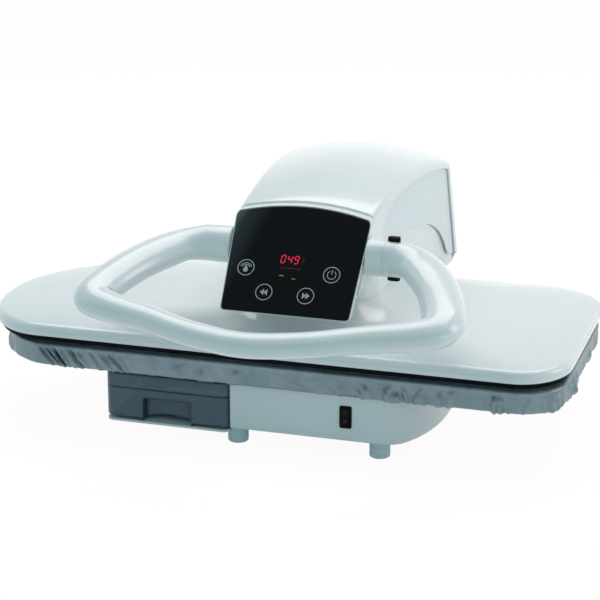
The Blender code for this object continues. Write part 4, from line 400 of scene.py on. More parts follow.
def divide_outline(outline, longest):
    points = []
    for start, end in zip(outline, outline[1:] + outline[:1]):
        start, end = Vector(start), Vector(end)
        pieces = max(1, math.ceil((end - start).length / longest))
        points += [tuple(start.lerp(end, i / pieces)) for i in range(pieces)]
    return points


def offset_outline(outline, distance, closed=True):
    """Move each point of an outline inward, square to the outline."""
    points = np.array(outline)
    if closed:
        before, after = points - np.roll(points, 1, 0), np.roll(points, -1, 0) - points
    else:
        step = np.diff(points, axis=0)
        before, after = np.vstack([step[:1], step]), np.vstack([step, step[-1:]])
    before /= np.maximum(np.linalg.norm(before, axis=1, keepdims=True), 1e-12)
    after /= np.maximum(np.linalg.norm(after, axis=1, keepdims=True), 1e-12)
    first = np.stack([-before[:, 1], before[:, 0]], 1)
    second = np.stack([-after[:, 1], after[:, 0]], 1)
    middle = first + second
    middle /= np.maximum(np.linalg.norm(middle, axis=1, keepdims=True), 1e-12)
    spread = np.maximum((middle * first).sum(1, keepdims=True), 0.3)
    return [tuple(p) for p in points + middle * distance / spread]


def ray_hit(outline, centre, toward):
    """The point where a ray from inside an outline leaves it."""
    start = np.array(outline)
    side = np.roll(start, -1, 0) - start
    direction = np.array(toward) - np.array(centre)
    reach = start - np.array(centre)
    across = direction[0] * side[:, 1] - direction[1] * side[:, 0]
    across = np.where(np.abs(across) < 1e-12, 1e-12, across)
    along = (reach[:, 0] * side[:, 1] - reach[:, 1] * side[:, 0]) / across
    share = (reach[:, 0] * direction[1] - reach[:, 1] * direction[0]) / across
    good = (along > 0) & (share >= -1e-3) & (share <= 1 + 1e-3)
    return tuple(np.array(centre) + direction * along[good].max())


def smooth_path(points, steps):
    points = [Vector(point) for point in points]
    path = []
    for i in range(len(points) - 1):
        before, start = points[max(i - 1, 0)], points[i]
        end, after = points[i + 1], points[min(i + 2, len(points) - 1)]
        for k in range(steps):
            t = k / steps
            point = 2 * start + (end - before) * t
            point += (2 * before - 5 * start + 4 * end - after) * t ** 2
            point += (3 * start - before - 3 * end + after) * t ** 3
            path.append(point / 2)
    path.append(points[-1])
    return path


def flat_ring(outline, height):
    return [(x, y, height) for x, y in outline]


def stack(outline_at, levels):
    """Level rings of an outline that is given by its inset."""
    return [flat_ring(outline_at(inset), height) for inset, height in levels]


def inward(outline):
    """The outline as a function of its inset."""
    return lambda inset: offset_outline(outline, inset)


def loft(rings, closed=False):
    """Faces between rings of as many points each, with flat ends or joined end to end."""
    count = len(rings[0])
    verts = [tuple(point) for ring in rings for point in ring]
    faces = []
    for k in range(len(rings) if closed else len(rings) - 1):
        low, high = k * count, (k + 1) % len(rings) * count
        for i in range(count):
            j = (i + 1) % count
            faces.append((low + i, low + j, high + j, high + i))
    if not closed:
        faces.append(tuple(reversed(range(count))))
        faces.append(tuple(range((len(rings) - 1) * count, len(rings) * count)))
    return verts, faces


def sheet(outer, inner):
    """Faces of two equal open grids joined round their border into one thick sheet."""
    height, width = len(outer), len(outer[0])
    verts = [tuple(p) for layer in (outer, inner) for row in layer for p in row]
    size = height * width
    faces = []
    for j in range(height - 1):
        for i in range(width - 1):
            a = j * width + i
            faces.append((a, a + 1, a + width + 1, a + width))
            faces.append((size + a + width, size + a + width + 1, size + a + 1, size + a))
    border = list(range(width)) + [j * width + width - 1 for j in range(1, height)]
    border += [(height - 1) * width + i for i in range(width - 2, -1, -1)]
    border += [j * width for j in range(height - 2, 0, -1)]
    for a, b in zip(border, border[1:] + border[:1]):
        faces.append((b, a, size + a, size + b))
    return verts, faces


def turned(profile, centre, axis, sides, closed=False):
    """A solid of revolution from (distance along the axis, radius) points."""
    turn = Vector(axis).normalized().to_track_quat("Z", "Y").to_matrix()
    rings = []
    for along, radius in profile:
        ring = circle((0, 0), radius, steps=sides)
        rings.append([Vector(centre) + turn @ Vector((x, y, along)) for x, y in ring])
    return loft(rings, closed)


def rod(centre, axis, ends, radius, sides=24):
    return turned([(end, radius) for end in ends], centre, axis, sides)


def oval_sweep(points, halves, sides, up):
    """An oval bar along a path, with a half width and a half height at each point."""
    up = Vector(up)
    rings = []
    for i, point in enumerate(points):
        tangent = (points[min(i + 1, len(points) - 1)] - points[max(i - 1, 0)]).normalized()
        across = tangent.cross(up).normalized()
        rise = across.cross(tangent)
        ring = arc((0, 0), halves[i], 0, 360, sides)[:-1]
        rings.append([point + across * x + rise * y for x, y in ring])
    return loft(rings)


def side_prism(outline, left, right):
    return loft([[(x, y, z) for y, z in outline] for x in (left, right)])


def box_shape(x_range, y_range, z_range, radius=0.0):
    outline = round_rectangle(x_range, y_range, radius, 6) if radius else rectangle(x_range, y_range)
    return loft([flat_ring(outline, z) for z in z_range])


def rounded_profile(levels, radius, steps=5):
    """Replace each corner of a chain of points by a small arc."""
    points = [Vector(level) for level in levels]
    out = [tuple(points[0])]
    for before, corner, after in zip(points, points[1:], points[2:]):
        back, ahead = before - corner, after - corner
        r = min(radius, back.length * 0.45, ahead.length * 0.45)
        ends = corner + back.normalized() * r, corner + ahead.normalized() * r
        out += [tuple(point) for point in bend(ends[0], corner, ends[1], steps)]
    return out + [tuple(points[-1])]


# Pieces

def link_new(name, data):
    obj = bpy.data.objects.new(name, data)
    bpy.context.scene.collection.objects.link(obj)
    return obj


def raw_object(name, shape):
    verts, faces = shape
    mesh = bpy.data.meshes.new(name)
    mesh.from_pydata([tuple(v) for v in verts], [], faces)
    bm = bmesh.new()
    bm.from_mesh(mesh)
    bmesh.ops.recalc_face_normals(bm, faces=bm.faces)
    bm.to_mesh(mesh)
    bm.free()
    mesh.transform(Matrix.Translation(MIDDLE))
    return link_new(name, mesh)


def carve(obj, shapes, operation):
    """Cut shapes out of a piece, or join them to it, and keep the result as its mesh."""
    tools = []
    for index, shape in enumerate(shapes):
        tool = raw_object("cutter_%d" % index, shape)
        modifier = obj.modifiers.new("carve_%d" % index, "BOOLEAN")
        modifier.operation = operation
        modifier.solver = "EXACT"
        modifier.object = tool
        tools.append(tool)
    bpy.context.view_layer.update()
    graph = bpy.context.evaluated_depsgraph_get()
    made = bpy.data.meshes.new_from_object(obj.evaluated_get(graph))
    obj.modifiers.clear()
    obj.data = made
    for tool in tools:
        bpy.data.objects.remove(tool, do_unlink=True)


def soften(obj, edge):
    bevel = obj.modifiers.new("soft_edge", "BEVEL")
    bevel.width = edge
    bevel.segments = 3
    bevel.limit_method = "ANGLE"
    bevel.angle_limit = math.radians(SHARP_ANGLE)
    bevel.harden_normals = False
    normals = obj.modifiers.new("even_normals", "WEIGHTED_NORMAL")
    normals.keep_sharp = False


def piece(name, shape, replaces=(), body="press_head", slot="white_shell", look=None, joined=(), cutters=(),
          edge=0.0, sharp=SHARP_ANGLE):
    """Make a piece with its material (from its look, or else its slot), a soft edge, its body and the nodes
    that it replaces.
    """
    obj = raw_object(name, shape)
    if joined:
        carve(obj, joined, "UNION")
    if cutters:
        carve(obj, cutters, "DIFFERENCE")
    obj.data.materials.clear()
    obj.data.materials.append(MATERIALS[look or slot])
    obj.data.shade_smooth()
    obj.data.set_sharp_from_angle(angle=math.radians(sharp))
    if edge:
        soften(obj, edge)
    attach(obj, body)
    if replaces:
        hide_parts(*replaces)
    return obj


# Materials

class Tree:
    """A node tree with short calls that make and join its nodes."""

    def __init__(self, tree):
        self.nodes, self.links = tree.nodes, tree.links

    def node(self, kind, **values):
        made = self.nodes.new("ShaderNode" + kind)
        for key, value in values.items():
            if key in made.inputs:
                made.inputs[key].default_value = value
            else:
                setattr(made, key, value)
        return made

    def join(self, source, target):
        self.links.new(source, target)

    def math(self, operation, first, second):
        made = self.node("Math", operation=operation)
        for socket, value in zip(made.inputs, (first, second)):
            if isinstance(value, (int, float)):
                socket.default_value = value
            else:
                self.join(value, socket)
        return made.outputs["Value"]

    def ramp(self, source, stops, colour=True):
        made = self.node("ValToRGB")
        ramp = made.color_ramp
        for index, (place, value) in enumerate(stops):
            element = ramp.elements[index] if index < 2 else ramp.elements.new(place)
            element.position = place
            element.color = (*value, 1.0) if colour else (value, value, value, 1.0)
        self.join(source, made.inputs["Fac"])
        return made.outputs["Color"]

    def split(self, source):
        made = self.node("SeparateXYZ")
        self.join(source, made.inputs["Vector"])
        return made.outputs

    def blend(self, amount, first, second):
        made = self.node("MixShader")
        for source, target in zip((amount, first, second), made.inputs):
            self.join(source, target)
        return made.outputs["Shader"]


class Surface(Tree):
    """A Principled material whose textures are read in object coordinates."""

    def __init__(self, name, **constants):
        self.material = bpy.data.materials.new(name)
        self.material.use_nodes = True
        super().__init__(self.material.node_tree)
        self.shader = self.nodes["Principled BSDF"]
        for key, value in constants.items():
            self.shader.inputs[key.replace("_", " ")].default_value = value
        self.place = self.node("TexCoord").outputs["Object"]
        self.height = None

    def scaled(self, scale):
        mapping = self.node("Mapping")
        mapping.inputs["Scale"].default_value = scale
        self.join(self.place, mapping.inputs["Vector"])
        return mapping.outputs["Vector"]

    def noise(self, scale, detail=2.0, roughness=0.5, vector=None):
        made = self.node("TexNoise", Scale=scale, Detail=detail, Roughness=roughness)
        self.join(vector or self.place, made.inputs["Vector"])
        return made.outputs["Fac"]

    def hollows(self, reach, dark, inside=False):
        """Painted shade: a factor of 1 on open faces, darker in folds and corners, or along edges from
        inside.
        """
        made = self.node("AmbientOcclusion", Distance=reach, samples=8, only_local=True, inside=inside)
        return self.ramp(made.outputs["AO"], [(0.45, dark), (0.95, 1.0)], False)

    def shaded(self, colour, hollow):
        """A colour times the painted shade of the hollows."""
        made = self.node("VectorMath", operation="MULTIPLY")
        self.join(colour, made.inputs[0])
        self.join(hollow, made.inputs[1])
        return made.outputs["Vector"]

    def bump(self, source, strength, distance):
        made = self.node("Bump", Strength=strength, Distance=distance)
        self.join(source, made.inputs["Height"])
        if self.height is not None:
            self.join(self.height, made.inputs["Normal"])
        self.height = made.outputs["Normal"]
        self.join(self.height, self.shader.inputs["Normal"])

    def set(self, name, source):
        self.join(source, self.shader.inputs[name])


def shade(colour, factor):
    return tuple(min(1.0, c * factor) for c in colour)


def moulded(name, colour, roughness, grain=0.0, spread=0.02, coat=0.0, **constants):
    """Moulded plastic: faint flow marks in the colour, uneven gloss and a fine skin."""
    surface = Surface(name, Coat_Weight=coat, Coat_Roughness=0.06, **constants)
    flow = surface.noise(7.0, 3.0, 0.55)
    stops = [(0.35, shade(colour, 1 - spread)), (0.65, shade(colour, 1 + spread))]
    surface.set("Base Color", surface.ramp(flow, stops))
    handled = surface.noise(38.0, 4.0, 0.6)
    surface.set("Roughness", surface.ramp(handled, [(0.3, roughness * 0.86), (0.7, roughness * 1.18)], False))
    surface.bump(surface.noise(160.0, 2.0), 0.05, 0.0006)
    if grain:
        surface.bump(surface.noise(1500.0, 3.0, 0.7), grain, 0.0004)
    return surface.material


def glass_with_painted_sheen(name, colour, painted_sheen, roughness):
    """Black glass with a painted sheen: a faint grey reflection painted into its colour, fading away from its
    upper left corner.
    """
    surface = Surface(name, Roughness=roughness, Coat_Weight=0.25, Coat_Roughness=0.06)
    place = surface.split(surface.node("TexCoord").outputs["Generated"])
    lower = surface.math("MULTIPLY", surface.math("SUBTRACT", 1.0, place["Z"]), 0.26)
    sheen_breakup = surface.math("MULTIPLY", surface.noise(26.0, 2.0), 0.05)
    across = surface.math("ADD", surface.math("ADD", place["X"], lower), sheen_breakup)
    # Painted reflection: a grey sheen painted into the base colour at the upper left corner, fading across
    # the glass.
    stops = [(0.03, painted_sheen), (0.13, shade(painted_sheen, 0.22)), (0.30, colour)]
    surface.set("Base Color", surface.ramp(across, stops))
    surface.bump(surface.noise(120.0, 2.0), 0.03, 0.0004)
    return surface.material


def metal(name, colour, roughness, direction):
    """Metal with fine brush lines along one axis and darker handling marks."""
    surface = Surface(name, Metallic=1.0)
    scale = [900.0, 900.0, 900.0]
    scale["XYZ".index(direction)] = 12.0
    lines = surface.noise(1.0, 4.0, 0.7, surface.scaled(scale))
    stains = surface.noise(22.0, 4.0, 0.6)
    both = surface.math("MULTIPLY", lines, surface.math("ADD", stains, 0.5))
    surface.set("Base Color", surface.ramp(both, [(0.2, shade(colour, 0.86)), (0.75, shade(colour, 1.08))]))
    surface.set("Roughness", surface.ramp(lines, [(0.3, roughness * 0.75), (0.7, roughness * 1.3)], False))
    surface.bump(lines, 0.12, 0.0003)
    return surface.material


def woven(name, dark, light, thread, roughness, sheen, metallic=0.0, fold=0.6):
    """Close weave of crossing threads with a mottled sheen, small creases and painted shade in its folds."""
    surface = Surface(name, Roughness=roughness, Metallic=metallic, Sheen_Weight=sheen,
                      Sheen_Roughness=0.35, Specular_IOR_Level=0.35)
    across, along = 1.6 / thread, 0.25 / thread
    warp = surface.noise(1.0, 2.0, 0.6, surface.scaled((across, along, across)))
    weft = surface.noise(1.0, 2.0, 0.6, surface.scaled((along, across, along)))
    cloth = surface.math("MULTIPLY", surface.math("ADD", warp, weft), 0.5)
    mottle = surface.noise(30.0, 5.0, 0.65)
    tone = surface.math("ADD", surface.math("MULTIPLY", cloth, 0.45), surface.math("MULTIPLY", mottle, 0.55))
    colour = surface.ramp(tone, [(0.30, dark), (0.70, light)])
    # Painted shade: the colour is darkened in folds and hollows, as far down as fold.
    surface.set("Base Color", surface.shaded(colour, surface.hollows(0.010, fold)))
    surface.bump(cloth, 0.30, 0.0003)
    surface.bump(surface.noise(95.0, 5.0, 0.65), 0.30, 0.0014)
    surface.bump(surface.noise(24.0, 3.0, 0.55), 0.35, 0.0060)
    return surface.material


def smoked(name, colour, clear, edge):
    """Smoke-blue clear moulding: seen through square on, denser edge on, with painted shade along its edges
    and in its hollows.
    """
    surface = Surface(name, Roughness=0.10, IOR=1.49, Specular_IOR_Level=0.28)
    facing = surface.node("LayerWeight", Blend=0.35).outputs["Facing"]
    tint = surface.ramp(facing, [(0.25, colour), (0.80, shade(colour, 0.22))])
    # Painted shade: the tint is darkened along edges, seen from inside, and in hollows and corners.
    tint = surface.shaded(tint, surface.hollows(0.0018, 0.12, inside=True))
    surface.set("Base Color", surface.shaded(tint, surface.hollows(0.007, 0.10)))
    surface.set("Alpha", surface.ramp(facing, [(0.25, clear), (0.75, edge)], False))
    surface.bump(surface.noise(210.0, 3.0), 0.06, 0.0005)
    return surface.material


def glowing(name, colour, strength):
    """Lit segment whose light varies a little from place to place."""
    surface = Surface(name, Roughness=0.4, Emission_Strength=strength)
    lit = surface.ramp(surface.noise(900.0, 2.0), [(0.2, shade(colour, 0.75)), (0.8, colour)])
    surface.set("Base Color", lit)
    surface.set("Emission Color", lit)
    return surface.material


MATERIALS = {
    "white_shell": moulded("white_gloss", (0.78, 0.82, 0.82), 0.20, spread=0.012, coat=0.35),
    "white_satin": moulded("white_satin", (0.75, 0.80, 0.81), 0.34, grain=0.10, spread=0.015, coat=0.1),
    "grey_shell": moulded("grey_moulding", (0.50, 0.58, 0.61), 0.38, grain=0.12),
    "black_gloss": glass_with_painted_sheen("panel_glass", (0.0020, 0.0036, 0.0046), (0.130, 0.165, 0.180), 0.055),
    "black_plastic": moulded("black_moulding", (0.0012, 0.0022, 0.0032), 0.40, grain=0.10, spread=0.10,
                             Specular_IOR_Level=0.10),
    "heat_black": moulded("heat_moulding", (0.0008, 0.0026, 0.0040), 0.65, grain=0.10, spread=0.10,
                          Specular_IOR_Level=0.08),
    "smoke_clear": smoked("smoke_moulding", (0.170, 0.240, 0.310), 0.58, 0.98),
    "smoke_cap": smoked("smoke_cap", (0.42, 0.52, 0.60), 0.80, 0.98),
    # The silver cloth carries deep painted shade in its folds (fold=0.12).
    "silver_cloth": woven("silver_cloth", (0.135, 0.200, 0.232), (0.265, 0.350, 0.385), 0.0009, 0.38, 0.10,
                          metallic=0.60, fold=0.12),
    "pad_foam": woven("pad_felt", (0.60, 0.56, 0.46), (0.78, 0.74, 0.63), 0.0030, 0.95, 0.40),
    "steel": metal("brushed_steel", (0.56, 0.57, 0.58), 0.34, "Z"),
    "aluminium": metal("cast_aluminium", (0.70, 0.71, 0.72), 0.30, "X"),
    "brass": metal("turned_brass", (0.70, 0.50, 0.22), 0.30, "X"),
    "circuit_green": moulded("circuit_lacquer", (0.02, 0.13, 0.05), 0.38, spread=0.15),
    "hose_silicone": moulded("hose_silicone", (0.60, 0.60, 0.56), 0.45, grain=0.08),
    "rubber": moulded("foot_rubber", (0.62, 0.74, 0.77), 0.55, grain=0.20, spread=0.03),
    "silver_ink": moulded("silver_ink", (0.42, 0.44, 0.45), 0.35, spread=0.06),
    "red_digit": glowing("red_digit", (0.62, 0.010, 0.045), 1.28),
    "red_dim": glowing("red_dim", (0.22, 0.005, 0.012), 0.30),
    "amber_mark": glowing("amber_mark", (0.45, 0.25, 0.03), 0.35),
}

# Plates

def plate_outline(inset, nose=0.0, heel_front=HEEL_FRONT_RADII, longest=OUTLINE_STEP):
    """Plan of the plates: a square heel at the right and a long nose at the left."""
    corners = []
    for radii in (NOSE_FRONT_RADII, heel_front, HEEL_BACK_RADII, NOSE_BACK_RADII):
        corners.append([max(radius - inset, LEAST_CORNER_RADIUS) for radius in radii])
    half_length, half_width = PLATE_LENGTH / 2 - inset, PLATE_WIDTH / 2 - inset
    ends, sides = (-half_length + nose, half_length), (-half_width, half_width)
    return divide_outline(rounded_box_outline(ends, sides, corners, CORNER_STEPS), longest)


def board_outline(inset, longest=OUTLINE_STEP):
    return plate_outline(inset, BOARD_NOSE_INSET, BOARD_HEEL_RADII, longest)


def build_plate_cover():
    """Moulded cover of the upper plate: a rim, a crown and a dome up to the neck."""
    outline = plate_outline(0.0)
    cover_outline = inward(outline)
    top, r, skin = COVER_RIM + COVER_WALL_HEIGHT, COVER_EDGE, COVER_THICKNESS
    neck = neck_outline()
    centre = (HEAD_X, (NECK_BACK - NECK_FRONT) / 2)
    wall = [(inset, COVER_RIM + rise) for inset, rise in SOFT_RIM + COVER_WALL_LEVELS]
    rings = stack(cover_outline, wall + rounded_edge(r, top, COVER_EDGE_STEPS))
    start = np.array(cover_outline(r))
    goals = np.array([ray_hit(neck, centre, point) for point in start])
    outward = start - goals
    gap = np.linalg.norm(outward, axis=1)
    outward /= gap[:, None]
    width = np.minimum(DOME_WIDTH, gap * 0.9)

    def cover_ring(distance):
        """Ring of the crown and the dome at a distance from the neck."""
        reach = np.minimum(distance, gap)
        point = goals + outward * reach[:, None]
        away = np.clip(reach / gap, 0, 1)
        rise = COVER_CROWN * np.sin(math.pi / 2 * (1.0 - away) ** CROWN_POWER)
        dome = DOME_RISE * (1.0 - np.minimum(reach / width, 1.0)) ** DOME_POWER
        return [(x, y, top + h) for (x, y), h in zip(point, rise + dome)]

    rings += [cover_ring(width + (gap - width) * share) for share in CROWN_SHARES]
    rings += [cover_ring(width * share) for share in DOME_SHARES]
    collar = [ray_hit(offset_outline(neck, NECK_COLLAR), centre, point) for point in start]
    inner = [[(x, y, p[2]) for (x, y), p in zip(collar, rings[-1])]]
    for share in INNER_DOME_SHARES:
        inner.append([(x, y, z - skin) for x, y, z in cover_ring(width * share + NECK_COLLAR * 0.4)])
    inner += stack(cover_outline, [(r, top - skin), (skin, top - r), (skin, COVER_RIM)])
    piece("upper_cover", loft(rings + inner, closed=True), ["plate_cover"], sharp=50)


def build_heated_plate():
    """Soleplate with two rows of steam holes, and the black guard round it."""
    bottom, top = PRESS_LINE, PRESS_LINE + HEATER_THICKNESS
    levels = rounded_edge(HEATER_THICKNESS / 3, bottom, way=-1)[::-1] + [(0.0, top)]
    verts, faces = [], []
    for row in STEAM_ROWS:
        for k in range(STEAM_HOLE_COUNT):
            x = STEAM_HOLE_PITCH * (k - (STEAM_HOLE_COUNT - 1) / 2)
            hole = rod((x, row, 0), UP, (bottom - 0.002, top + 0.002), STEAM_HOLE_RADIUS, 20)
            faces += [tuple(i + len(verts) for i in face) for face in hole[1]]
            verts += hole[0]
    plate = stack(plate_outline, [(HEATER_INSET + inset, height) for inset, height in levels])
    piece("sole_plate", loft(plate), ["heating_plate"], slot="aluminium", cutters=[(verts, faces)], sharp=40)
    low, high, seat = bottom + HEATER_THICKNESS / 2, bottom + SURROUND_HEIGHT, top + FIT_GAP
    outer, corner = SURROUND_OUTER_INSET, SURROUND_EDGE
    rim = [(SURROUND_INNER_INSET, low), (outer + corner, low), (outer + corner * 0.3, low + corner * 0.3),
           (outer, low + corner), (outer, high), (SURROUND_SEAT_INSET, high), (SURROUND_SEAT_INSET, seat),
           (SURROUND_INNER_INSET, seat)]
    piece("heat_guard", loft(stack(plate_outline, rim), closed=True), ["plate_surround"],
          slot="black_plastic", look="heat_black", sharp=40)


# Head

def ridge_height(share):
    bow = (4.0 * share * (1.0 - share)) ** RIDGE_FULLNESS
    return lerp(RIDGE_FRONT_HEIGHT, RIDGE_BACK_HEIGHT, share) + RIDGE_RISE * bow


def head_front(height):
    behind = (BEZEL_DEPTH + FIT_GAP) / math.cos(PANEL_LEAN)
    return -PANEL_FRONT + behind + (height - PANEL_BOTTOM) * math.tan(PANEL_LEAN)


def head_depth(share, height):
    return lerp(head_front(height), HEAD_BACK, share)


def share_at(depth, height):
    front = head_front(height)
    return (depth - front) / (HEAD_BACK - front)


def skirt_table():
    """Smooth table of the skirt's edge, without overshoot between its named points."""
    shares, heights = np.array(SKIRT_EDGE_SHARES), np.array(SKIRT_EDGE_HEIGHTS)
    step = np.diff(shares)
    rise = np.diff(heights) / step
    slope = np.zeros(len(shares))
    for i in range(1, len(shares) - 1):
        if rise[i - 1] * rise[i] > 0:
            slope[i] = 2 * rise[i - 1] * rise[i] / (rise[i - 1] + rise[i])
    slope[0], slope[-1] = rise[0], rise[-1]
    fine = np.linspace(0, 1, 401)
    k = np.clip(np.searchsorted(shares, fine, side="right") - 1, 0, len(step) - 1)
    t = (fine - shares[k]) / step[k]
    value = (heights[k] * (1 + 2 * t) * (1 - t) ** 2 + slope[k] * step[k] * t * (1 - t) ** 2
             + heights[k + 1] * t ** 2 * (3 - 2 * t) + slope[k + 1] * step[k] * t ** 2 * (t - 1))
    return fine, value


SKIRT_TABLE = skirt_table()


def lower_height(share):
    return float(np.interp(share, *SKIRT_TABLE))


def head_half_width(share, height):
    draft = math.tan(lerp(DRAFT_FRONT, DRAFT_BACK, share))
    return lerp(RIDGE_HALF_FRONT, RIDGE_HALF_BACK, share) + draft * (ridge_height(share) - height)


def full_section(share, low_steps=14, round_steps=10, roof_steps=14):
    """Outer section of the head from its left lower edge over the roof to the right one."""
    ridge = ridge_height(share)
    half = lerp(RIDGE_HALF_FRONT, RIDGE_HALF_BACK, share)
    arch = lerp(ROOF_ARCH_FRONT, ROOF_ARCH_BACK, share)

    def roof(x):
        return (x, ridge + arch * (1.0 - (x / half) ** 2))

    side_top, roof_x = ridge - SHOULDER_RADIUS, half - SHOULDER_RADIUS
    heights = evenly(lower_height(share), side_top, low_steps)
    right = [(head_half_width(share, height), height) for height in heights[:-1]]
    shoulder = bend((head_half_width(share, side_top), side_top), (half, ridge), roof(roof_x), round_steps)
    right += [tuple(point) for point in shoulder] + [roof(x) for x in evenly(roof_x, 0.0, roof_steps, 1)]
    return mirrored(right)[::-1]


def neck_half_width(depth):
    if depth < 0:
        return NECK_FRONT_HALF
    share = share_at(depth, lower_height(NECK_SHARE))
    panel = SIDE_PANEL_RECESS + SIDE_PANEL_THICKNESS + NECK_SIDE_GAP
    inside = head_half_width(share, lower_height(share)) - panel
    return lerp(NECK_FRONT_HALF, inside, smooth_step(depth / NECK_BACK * 2.0))


def neck_side(further=()):
    """Right half of the neck in plan, from the middle of its front."""
    r = NECK_CORNER
    depths = evenly(-NECK_FRONT + r, NECK_BACK, NECK_STEPS, 1) + list(further)
    corner = arc((NECK_FRONT_HALF - r, -NECK_FRONT + r), (r, r), 270, 360, NECK_STEPS)
    return [(0.0, -NECK_FRONT)] + corner + [(neck_half_width(depth), depth) for depth in depths]


def neck_outline():
    right = neck_side()
    left = [(-x, y) for x, y in reversed(right[1:])]
    return [(x + HEAD_X, y) for x, y in right + left]


def build_neck():
    """Wall between the plate's cover and the head, which reaches further down behind the plate."""
    tail = HEAD_BACK - HEAD_WALL - RUNNING_GAP
    drop = PLATE_WIDTH / 2 + RUNNING_GAP
    right = neck_side([drop] + evenly(drop + RUNNING_GAP, tail, 14))
    outer = [(-x + HEAD_X, y) for x, y in reversed(right[1:])] + [(x + HEAD_X, y) for x, y in right]
    inner = offset_outline(outer, NECK_WALL, closed=False)
    foot = COVER_RIM + COVER_WALL_HEIGHT + COVER_CROWN + DOME_RISE + FIT_GAP
    ends = []
    for x, y in outer:
        bottom = foot if y < drop + RUNNING_GAP / 2 else NECK_TAIL_BOTTOM
        share = share_at(y, lower_height(NECK_SHARE))
        side_top = lower_height(min(max(share, NECK_FRONT_SHARE), 1.0)) + NECK_OVERLAP
        ends.append((bottom, lerp(NECK_FRONT_TOP, side_top, smooth_step((y + NECK_FRONT) / NECK_CORNER))))
    layers = []
    for line in (outer, inner):
        layers.append([[(x, y, lerp(*end, k)) for (x, y), end in zip(line, ends)] for k in evenly(0, 1, 12)])
    piece("neck_shroud", sheet(*layers), ["neck_wall"], edge=0.0006)


def window_top(share):
    """Upper edge of the side windows, which bends down at the front corner."""
    near = (share - WINDOW_FRONT_SHARE) / WINDOW_CORNER_SHARE
    return ridge_height(share) - WINDOW_RIM - WINDOW_CORNER_DROP * max(0.0, 1.0 - near) ** 2


def window_shares():
    """Shares from the front of the side windows to where their upper edge meets the upright one."""
    end = share_at(HEAD_BACK - WINDOW_BACK_MARGIN, RIDGE_BACK_HEIGHT - WINDOW_RIM)
    return evenly(WINDOW_FRONT_SHARE, end, WINDOW_STEPS)


def window_outline():
    """Side window as (y, z) points: under the ridge, from behind the hub to the back, open below."""
    back, shares = HEAD_BACK - WINDOW_BACK_MARGIN, window_shares()
    points = [(head_depth(share, window_top(share)), window_top(share)) for share in shares[:-1]]
    points += [(back, window_top(shares[-1])), (back, BASE_TOP)]
    return points + [(head_depth(WINDOW_FRONT_SHARE, BASE_TOP), BASE_TOP)]


def build_cowl():
    """Roof and sides of the head, with a window in each side for the side panels."""
    layers = [], []
    for share in evenly(0, 1, 72):
        section = full_section(share)
        inside = offset_outline(section, -HEAD_WALL, closed=False)
        for layer, line in zip(layers, (section, inside)):
            layer.append([(HEAD_X + x, head_depth(share, z), z) for x, z in line])
    reach = RIDGE_HALF_BACK * 2
    window = side_prism(window_outline(), *around(HEAD_X, reach * 2))
    hub_hole = rod(HANDLE_CENTRE, (1, 0, 0), (-reach, reach), HUB_RADIUS + RUNNING_GAP / 2, 64)
    piece("head_shell", sheet(*layers), ["head_cowl"], cutters=[window, hub_hole], edge=0.0007, sharp=40)


def build_side_panels():
    """Recessed panels in the windows of the cowl."""
    back = HEAD_BACK - WINDOW_BACK_MARGIN - SIDE_PANEL_GAP
    shares = window_shares()

    def panel_row(sign, recess, rise):
        """Points of a side panel at one share of its height, from the front to the back."""
        row = []
        for share in shares:
            height = lerp(lower_height(share) + SIDE_PANEL_GAP, window_top(share) - SIDE_PANEL_GAP, rise)
            depth = back if share == shares[-1] else head_depth(share, height) + SIDE_PANEL_GAP
            half = head_half_width(share_at(depth, height), height) - recess
            row.append((HEAD_X + sign * half, depth, height))
        return row

    for side, sign in SIDES:
        layers = []
        for recess in (SIDE_PANEL_RECESS, SIDE_PANEL_RECESS + SIDE_PANEL_THICKNESS):
            layers.append([panel_row(sign, recess, rise) for rise in evenly(0, 1, 16)])
        piece("cheek_" + side, sheet(*layers), ["side_panel_" + side], look="white_satin", edge=0.0005)


def build_back_cover():
    """Cover behind the cowl, with a shallow step round its face and a screw near each corner."""
    section = offset_outline(full_section(1.0), -(HEAD_WALL + BACK_COVER_GAP), closed=False)
    tail = neck_half_width(HEAD_BACK) - BACK_COVER_GAP
    bottom = NECK_TAIL_BOTTOM + RUNNING_GAP
    outline = [(HEAD_X - tail, bottom)] + [(HEAD_X + x, z) for x, z in section] + [(HEAD_X + tail, bottom)]
    centre = Vector((HEAD_X, BACK_COVER_MIDDLE))
    rings = []
    for inset, sink in BACK_COVER_LEVELS:
        ring = []
        for x, z in outline:
            spoke = Vector((x, z)) - centre
            point = centre + spoke * (1.0 - inset / spoke.length)
            ring.append((point.x, HEAD_BACK - sink, point.y))
        rings.append(ring)
    piece("rear_cover", loft(rings), ["head_back_cover"], look="white_satin", edge=0.0003)
    for index, (x, z) in enumerate(BACK_SCREWS):
        screw("rear_screw_%d" % index, (HEAD_X + x, HEAD_BACK - 0.0002, z), BACKWARD, 0.0034)


def screw(name, place, axis, radius):
    """Pan-head screw with a cross slot."""
    profile = [(-0.0030, 0.45), (0.0, 0.45), (0.0, 1.0), (0.0006, 1.0), (0.0013, 0.72), (0.0016, 0.35)]
    turn = Vector(axis).to_track_quat("Z", "Y").to_matrix()
    slots = []
    for long, short in ((0.62, 0.13), (0.13, 0.62)):
        sides = around(0, 2 * radius * long), around(0, 2 * radius * short)
        verts, faces = box_shape(*sides, (0.0004, 0.0030))
        slots.append(([Vector(place) + turn @ Vector(v) for v in verts], faces))
    shape = turned([(along, radius * share) for along, share in profile], place, axis, 28)
    piece(name, shape, slot="steel", cutters=slots)


# Control panel

